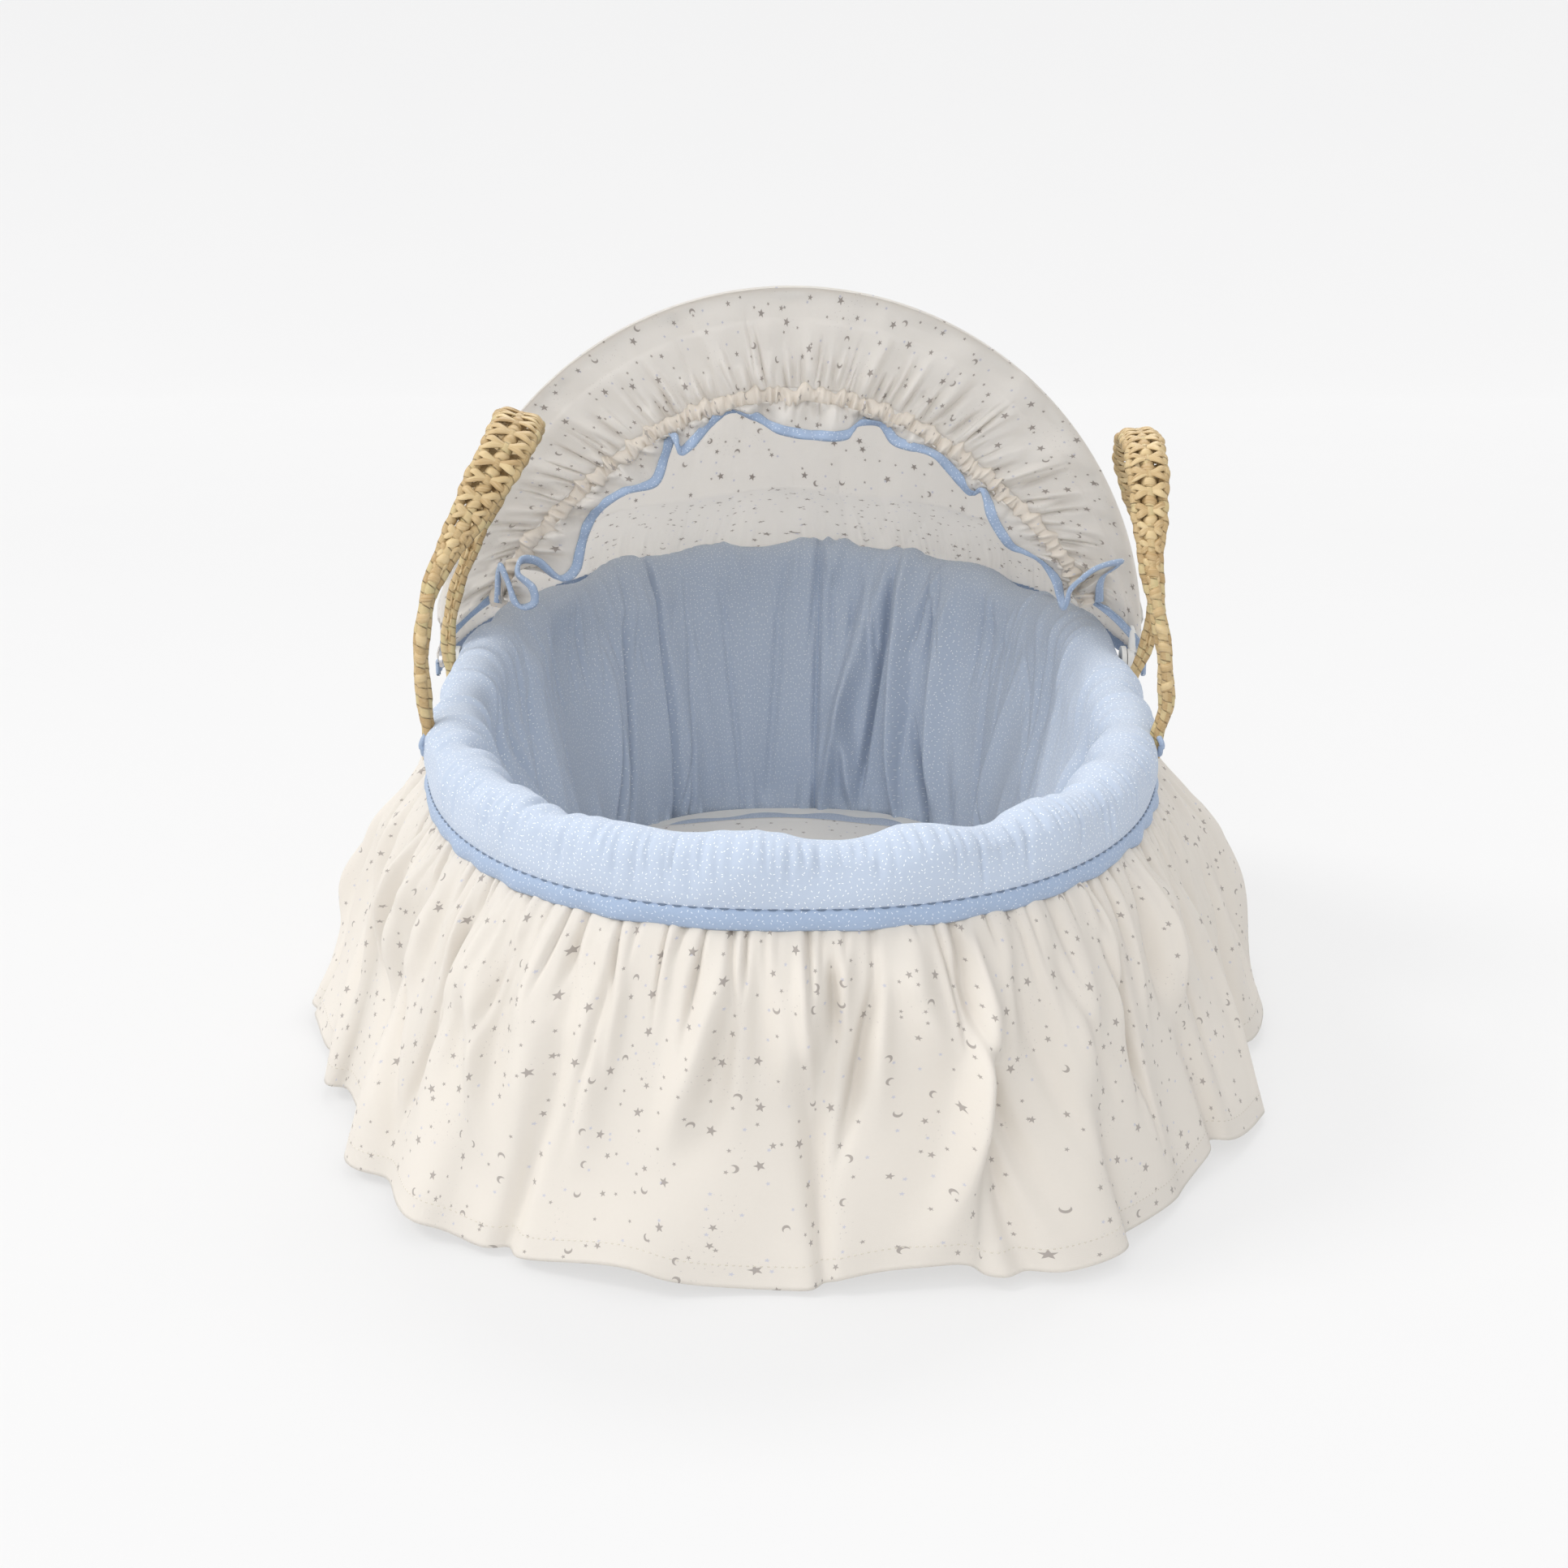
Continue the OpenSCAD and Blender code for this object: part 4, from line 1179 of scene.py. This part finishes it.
def ruffle():
    """The loose ruffle from the elastic to its bound edge."""
    rows, cols = 30, 1400
    edge = smooth_path(RUFFLE_EDGE, cols)
    edge = edge * [1, -1, 1] + [0, HOOD_Y - 0.005, 0]
    arc = np.linspace(0, 1, cols)
    seen = np.arctan2(edge[:, 2] - PIVOT_Z - HOOP_LEG, edge[:, 0])
    s = smooth_line(seen, 110)
    s = np.maximum.accumulate(s)
    low = math.radians(8)
    s = low + (s - s[0]) / (s[-1] - s[0]) * (math.pi - 2 * low)
    root = polar(casing_radius(s) - 0.006, s, HOOD_Y - 0.0055)
    v = np.linspace(0, 1, rows)[:, None, None]
    points = root[None] + (edge - root)[None] * v
    shape, length = (rows, cols), 0.90
    fold = pleats(shape, v[:, :, 0], length, 95, 81, 0.0030, 0.0060, -0.2, 0.9, 0.004, False)
    fold = fold - pleats(shape, v[:, :, 0], length, 95, 82, 0.0018, 0.0040, -0.2, 0.8, 0.004, False)
    fold = fold + 0.0022 * v[:, :, 0] * ripple(arc[None, :], 0.4 * v[:, :, 0], 24, 50, 83, 0.5)
    curl = 0.0050 * np.sin(np.pi * v[:, :, 0]) * ripple(arc[None, :], 0, 14, 30, 84, 0)
    points[..., 1] -= (fold + curl) * (1 - 0.7 * v[:, :, 0])
    flat = cut(points)
    down = v[:, 0, 0] * flat[1]
    frill = grid_object("hood_ruffle_cloth", points, finish["star_hood"], arc * flat[0], down)
    thicken(frill, 0.0008)
    settle(frill, "hood_front", "star_hood", "hood_ruffle")
    inward = points[-2] - points[-1]
    inward /= np.linalg.norm(inward, axis=1, keepdims=True)
    along = np.gradient(points[-1], axis=0)
    face = np.cross(along, inward)
    face /= np.linalg.norm(face, axis=1, keepdims=True)
    across = np.linspace(0.0060, 0, 6)[:, None, None]
    side = [inward[None] * across + face[None] * way for way in (0.0013, -0.0013)]
    strip = points[-1][None] + np.concatenate([side[0], -inward[None] * 0.0012, side[1][::-1]])
    bound_flat = cut(strip)
    across_v = np.linspace(0, bound_flat[1], len(strip))
    bound = grid_object("ruffle_bound_edge", strip, finish["blue_binding"], arc * bound_flat[0], across_v)
    thicken(bound, 0.0008)
    settle(bound, "hood_front", "blue_binding", "ruffle_binding")


hood_cloth()
facing()
casing()
ruffle()

# ---------------------------------------------------------------- handles

HANDLE_H, HANDLE_SPAN, HANDLE_N = 0.206, 0.090, 2.6
SKEW = math.radians(2.64)
SIDE_CORD_R = 0.0031


def handle_frame(side, lean):
    """Turns points beside the hinge line (out, along, up) into the row's frame."""
    origin = np.array(JOINT_AT["handle_left_swing" if side < 0 else "handle_right_swing"])

    def place(local):
        out, along, up = np.moveaxis(np.asarray(local, float), -1, 0)
        out, up = out * math.cos(lean) - up * math.sin(lean), out * math.sin(lean) + up * math.cos(lean)
        x = out * math.cos(SKEW) + along * math.sin(SKEW)
        y = along * math.cos(SKEW) - out * math.sin(SKEW)
        return origin + np.stack([side * x, y, up], axis=-1)

    return place


def handle_arch(count, top):
    """The arch's middle line as (along, up), at even steps from the foot end's leg to the head end's."""
    a = np.linspace(0, np.pi, 4000)
    u = -HANDLE_SPAN * power(np.cos(a), 2 / HANDLE_N)
    h = top * power(np.sin(a), 2 / HANDLE_N)
    run = np.concatenate([[0], np.cumsum(np.hypot(np.diff(u), np.diff(h)))])
    at = np.linspace(0, run[-1], count)
    return np.interp(at, run, u), np.interp(at, run, h), at


def wrapped(run, sides, pitch, depth, seed):
    """Bumps of palm leaf wound round a cord: each turn rises to an edge and drops under the next."""
    rng = np.random.default_rng(seed)
    turns = run[:, None] / pitch + np.arange(sides)[None, :] / sides
    jitter = np.interp(turns, np.arange(400), rng.uniform(0.6, 1.4, 400))
    saw = np.mod(turns, 1.0)
    return depth * jitter * (step(saw, 0.0, 0.12) * (1 - 0.45 * saw) - 0.3)


def handle(side, lean, name, tall, wide, seed):
    """Three cords of wrapped palm leaf: bundled at the feet, spread and laced together over the top."""
    body = "handle_" + name
    place = handle_frame(side, lean)
    along, up, run = handle_arch(760, HANDLE_H * tall)
    total = run[-1]
    pitch = total / 40
    height = up / up.max()
    opened = step(height, 0.40, 0.95)
    spread = (0.0100 + (wide - 0.0100) * opened) / 2 - SIDE_CORD_R
    bulge = (0.013, 0.009) if side < 0 else (0.004, 0.011)
    bulge = bulge[0] + (bulge[1] - bulge[0]) * step(along, -0.03, 0.03)
    bow = bulge * height / 0.34 * np.exp(1 - height / 0.34) * (1 - step(height, 0.55, 1.0))
    bow = bow - 0.0075 * (1 - step(up, -0.005, 0.030))
    near = 1 - step(along, -0.02, 0.04)
    if side > 0:
        bow = bow - near * 0.0060 * bump(height, 0.60, 0.22) + (1 - near) * 0.0085 * bump(height, 0.45, 0.22)
    else:
        bow = bow + near * (0.0065 * bump(height, 0.47, 0.17) - 0.0055 * bump(height, 0.12, 0.10))
        bow = bow + (1 - near) * 0.0030 * bump(height, 0.30, 0.15) - 0.0060 * step(height, 0.75, 1.0)
    sink = 0.007 * (1 - step(up, 0, 0.014))
    tangent = np.stack([np.gradient(along), np.gradient(up)], axis=-1)
    tangent /= np.linalg.norm(tangent, axis=1, keepdims=True)

    def path(out_share, lift, run_at=None, extra=0.0):
        """Points at a share of the spread out from the middle line, lifted off the arch's outer side."""
        at = run if run_at is None else run_at

        def get(field):
            return np.interp(at, run, field)

        out = get(bow) + out_share * get(spread) + extra
        tx, ty = get(tangent[:, 0]), get(tangent[:, 1])
        local = np.broadcast_arrays(out, get(along) - ty * lift, get(up) + tx * lift - get(sink))
        return place(np.stack(local, axis=-1))

    cords = Parts()
    rng = np.random.default_rng(seed)
    foot = 0.80 + 0.20 * step(np.minimum(run, total - run), 0.0, 0.03)
    for out_share in (-1, 1):
        wander = 0.0005 * np.sin(run * 170 + out_share * 2.1)
        wander = wander + 0.0006 * opened * np.sin(2 * np.pi * run / pitch)
        bumps = wrapped(run, 16, 0.0095, 0.0007, seed + out_share)
        cords.add_tube(path(out_share, -0.0012 * (1 - opened), extra=wander), SIDE_CORD_R * foot, 16, bumps)
    bead = np.abs(np.cos(np.pi * run / pitch)) ** 0.6
    radius = (0.0031 - 0.0007 * opened + 0.0022 * opened * bead) * foot
    middle_lift = 0.0030 * (1 - opened) + 0.0006 * opened
    bumps = wrapped(run, 18, 0.0046, 0.0006, seed + 5) * (0.4 + 0.6 * opened[:, None])
    cords.add_tube(path(0, middle_lift), radius, 18, bumps, turn=0.4)
    shown = cords.build(body + "_cords", finish["palm_cord"])
    settle(shown, None, "palm_cord", body + "_cord", body + "_side_cords", body + "_feet")
    pivot = place(np.zeros(3))
    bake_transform(shown)

    knots = Parts()
    for index in range(1, 40):
        centre = index * pitch + rng.uniform(-0.0008, 0.0008)
        if np.interp(centre, run, height) < 0.16:
            continue
        share_open = float(np.interp(centre, run, opened))
        for way in (-1, 1):
            lacing(knots, path, centre, way, share_open, pitch, rng)
        collar(knots, path, centre + 0.5 * pitch, share_open, rng)
    ties = knots.build(body + "_knots", finish["palm_leaf"])
    thicken(ties, 0.0007)
    settle(ties, body, "palm_cord", body + "_ties")


def lacing(knots, path, centre, way, share_open, pitch, rng):
    """Two leaf strips from a waist of the middle cord that part, and go round the side cord."""
    ways = np.linspace(0, 1, 13)
    wide = np.linspace(-1, 1, 5)[:, None]
    for leg in (-1, 1):
        reach = way * (0.05 + 1.17 * ways)[None, :]
        slip = leg * (0.0004 + (0.16 + 0.10 * share_open) * pitch * step(ways, 0.15, 0.85))[None, :]
        half = (0.0013 + 0.0012 * np.sin(np.pi * np.clip(ways * 1.1, 0, 1)))[None, :] * rng.uniform(0.85, 1.2)
        round_side = np.clip((np.abs(reach) - 0.72) / 0.5, 0, 1)
        lift = 0.0037 * np.cos(np.pi * 0.5 * round_side) + 0.0006 - 0.0012 * (1 - share_open)
        lift = lift + 0.0010 * np.sin(np.pi * ways)[None, :] + 0.0004 * (1 - wide**2)
        strip = path(reach, lift + 0.0 * wide, centre + slip + wide * half)
        knots.add_grid(strip, ways * 0.02, wide[:, 0] * 0.0015 + rng.uniform(0, 3))
        under = path(reach, -lift - 0.0004 + 0.0 * wide, centre + slip - wide * half)
        knots.add_grid(under, ways * 0.02, wide[:, 0] * 0.0015 + rng.uniform(0, 3))


def collar(knots, path, centre, share_open, rng):
    """A turn of leaf round the swell of the middle cord."""
    a = np.linspace(0, 2 * np.pi, 17)[:-1][None, :]
    strip = np.linspace(-1, 1, 6)[:, None] * 0.0030 * rng.uniform(0.8, 1.2)
    fat = 0.0037 + 0.0014 * share_open - 0.0008 * (strip / 0.0030) ** 2
    lift = 0.0030 * (1 - share_open) + fat * np.sin(a)
    slant = 0.0012 * np.sin(a + rng.uniform(0, 6))
    rows = path(0.0, lift, centre + strip + slant, fat * np.cos(a))
    knots.add_grid(rows, np.arange(17) / 16 * 0.02, strip[:, 0] * 0.5 + rng.uniform(0, 3), wrap_u=True)


handle(-1, math.radians(16), "left", 1.035, 0.033, 91)
handle(1, math.radians(4), "right", 0.935, 0.027, 191)


def slot_loops():
    """The bound mouths of the slots that the handles come out of, and the palm stitches inside them."""
    a = np.linspace(0, 2 * np.pi, 61)[:-1]
    b = np.linspace(0.15 * np.pi, 1.85 * np.pi, 40)
    for side, name in ((-1, "left"), (1, "right")):
        place = handle_frame(side, 0.0)
        for end, end_name in ((-1, "foot"), (1, "head")):
            high = 0.0065 * np.sin(a)
            out = -0.0016 - 0.0026 * (np.maximum(high, 0) / 0.0065) ** 2 - 0.0010 * (high < 0)
            loop = Parts()
            mouth = np.stack([out, end * HANDLE_SPAN + 0.0085 * np.cos(a), high + 0.002], axis=-1)
            loop.add_tube(place(mouth), 0.0019, 10, closed=True)
            rim = loop.build(f"slot_binding_{name}_{end_name}", finish["blue_binding"])
            settle(rim, "root", "blue_binding")
            strap = Parts()
            for shift in (-0.0055, 0.0, 0.0055):
                along = np.full_like(b, end * HANDLE_SPAN + shift)
                hook = [-0.0120 + 0.0062 * np.cos(b), along, -0.004 + 0.0062 * np.sin(b)]
                strap.add_tube(place(np.stack(hook, axis=-1)), 0.0022, 10)
            hidden = strap.build(f"handle_stitches_{name}_{end_name}", finish["palm_cord"])
            settle(hidden, "root", "palm_cord", f"anchor_{name}_{end_name}")


slot_loops()
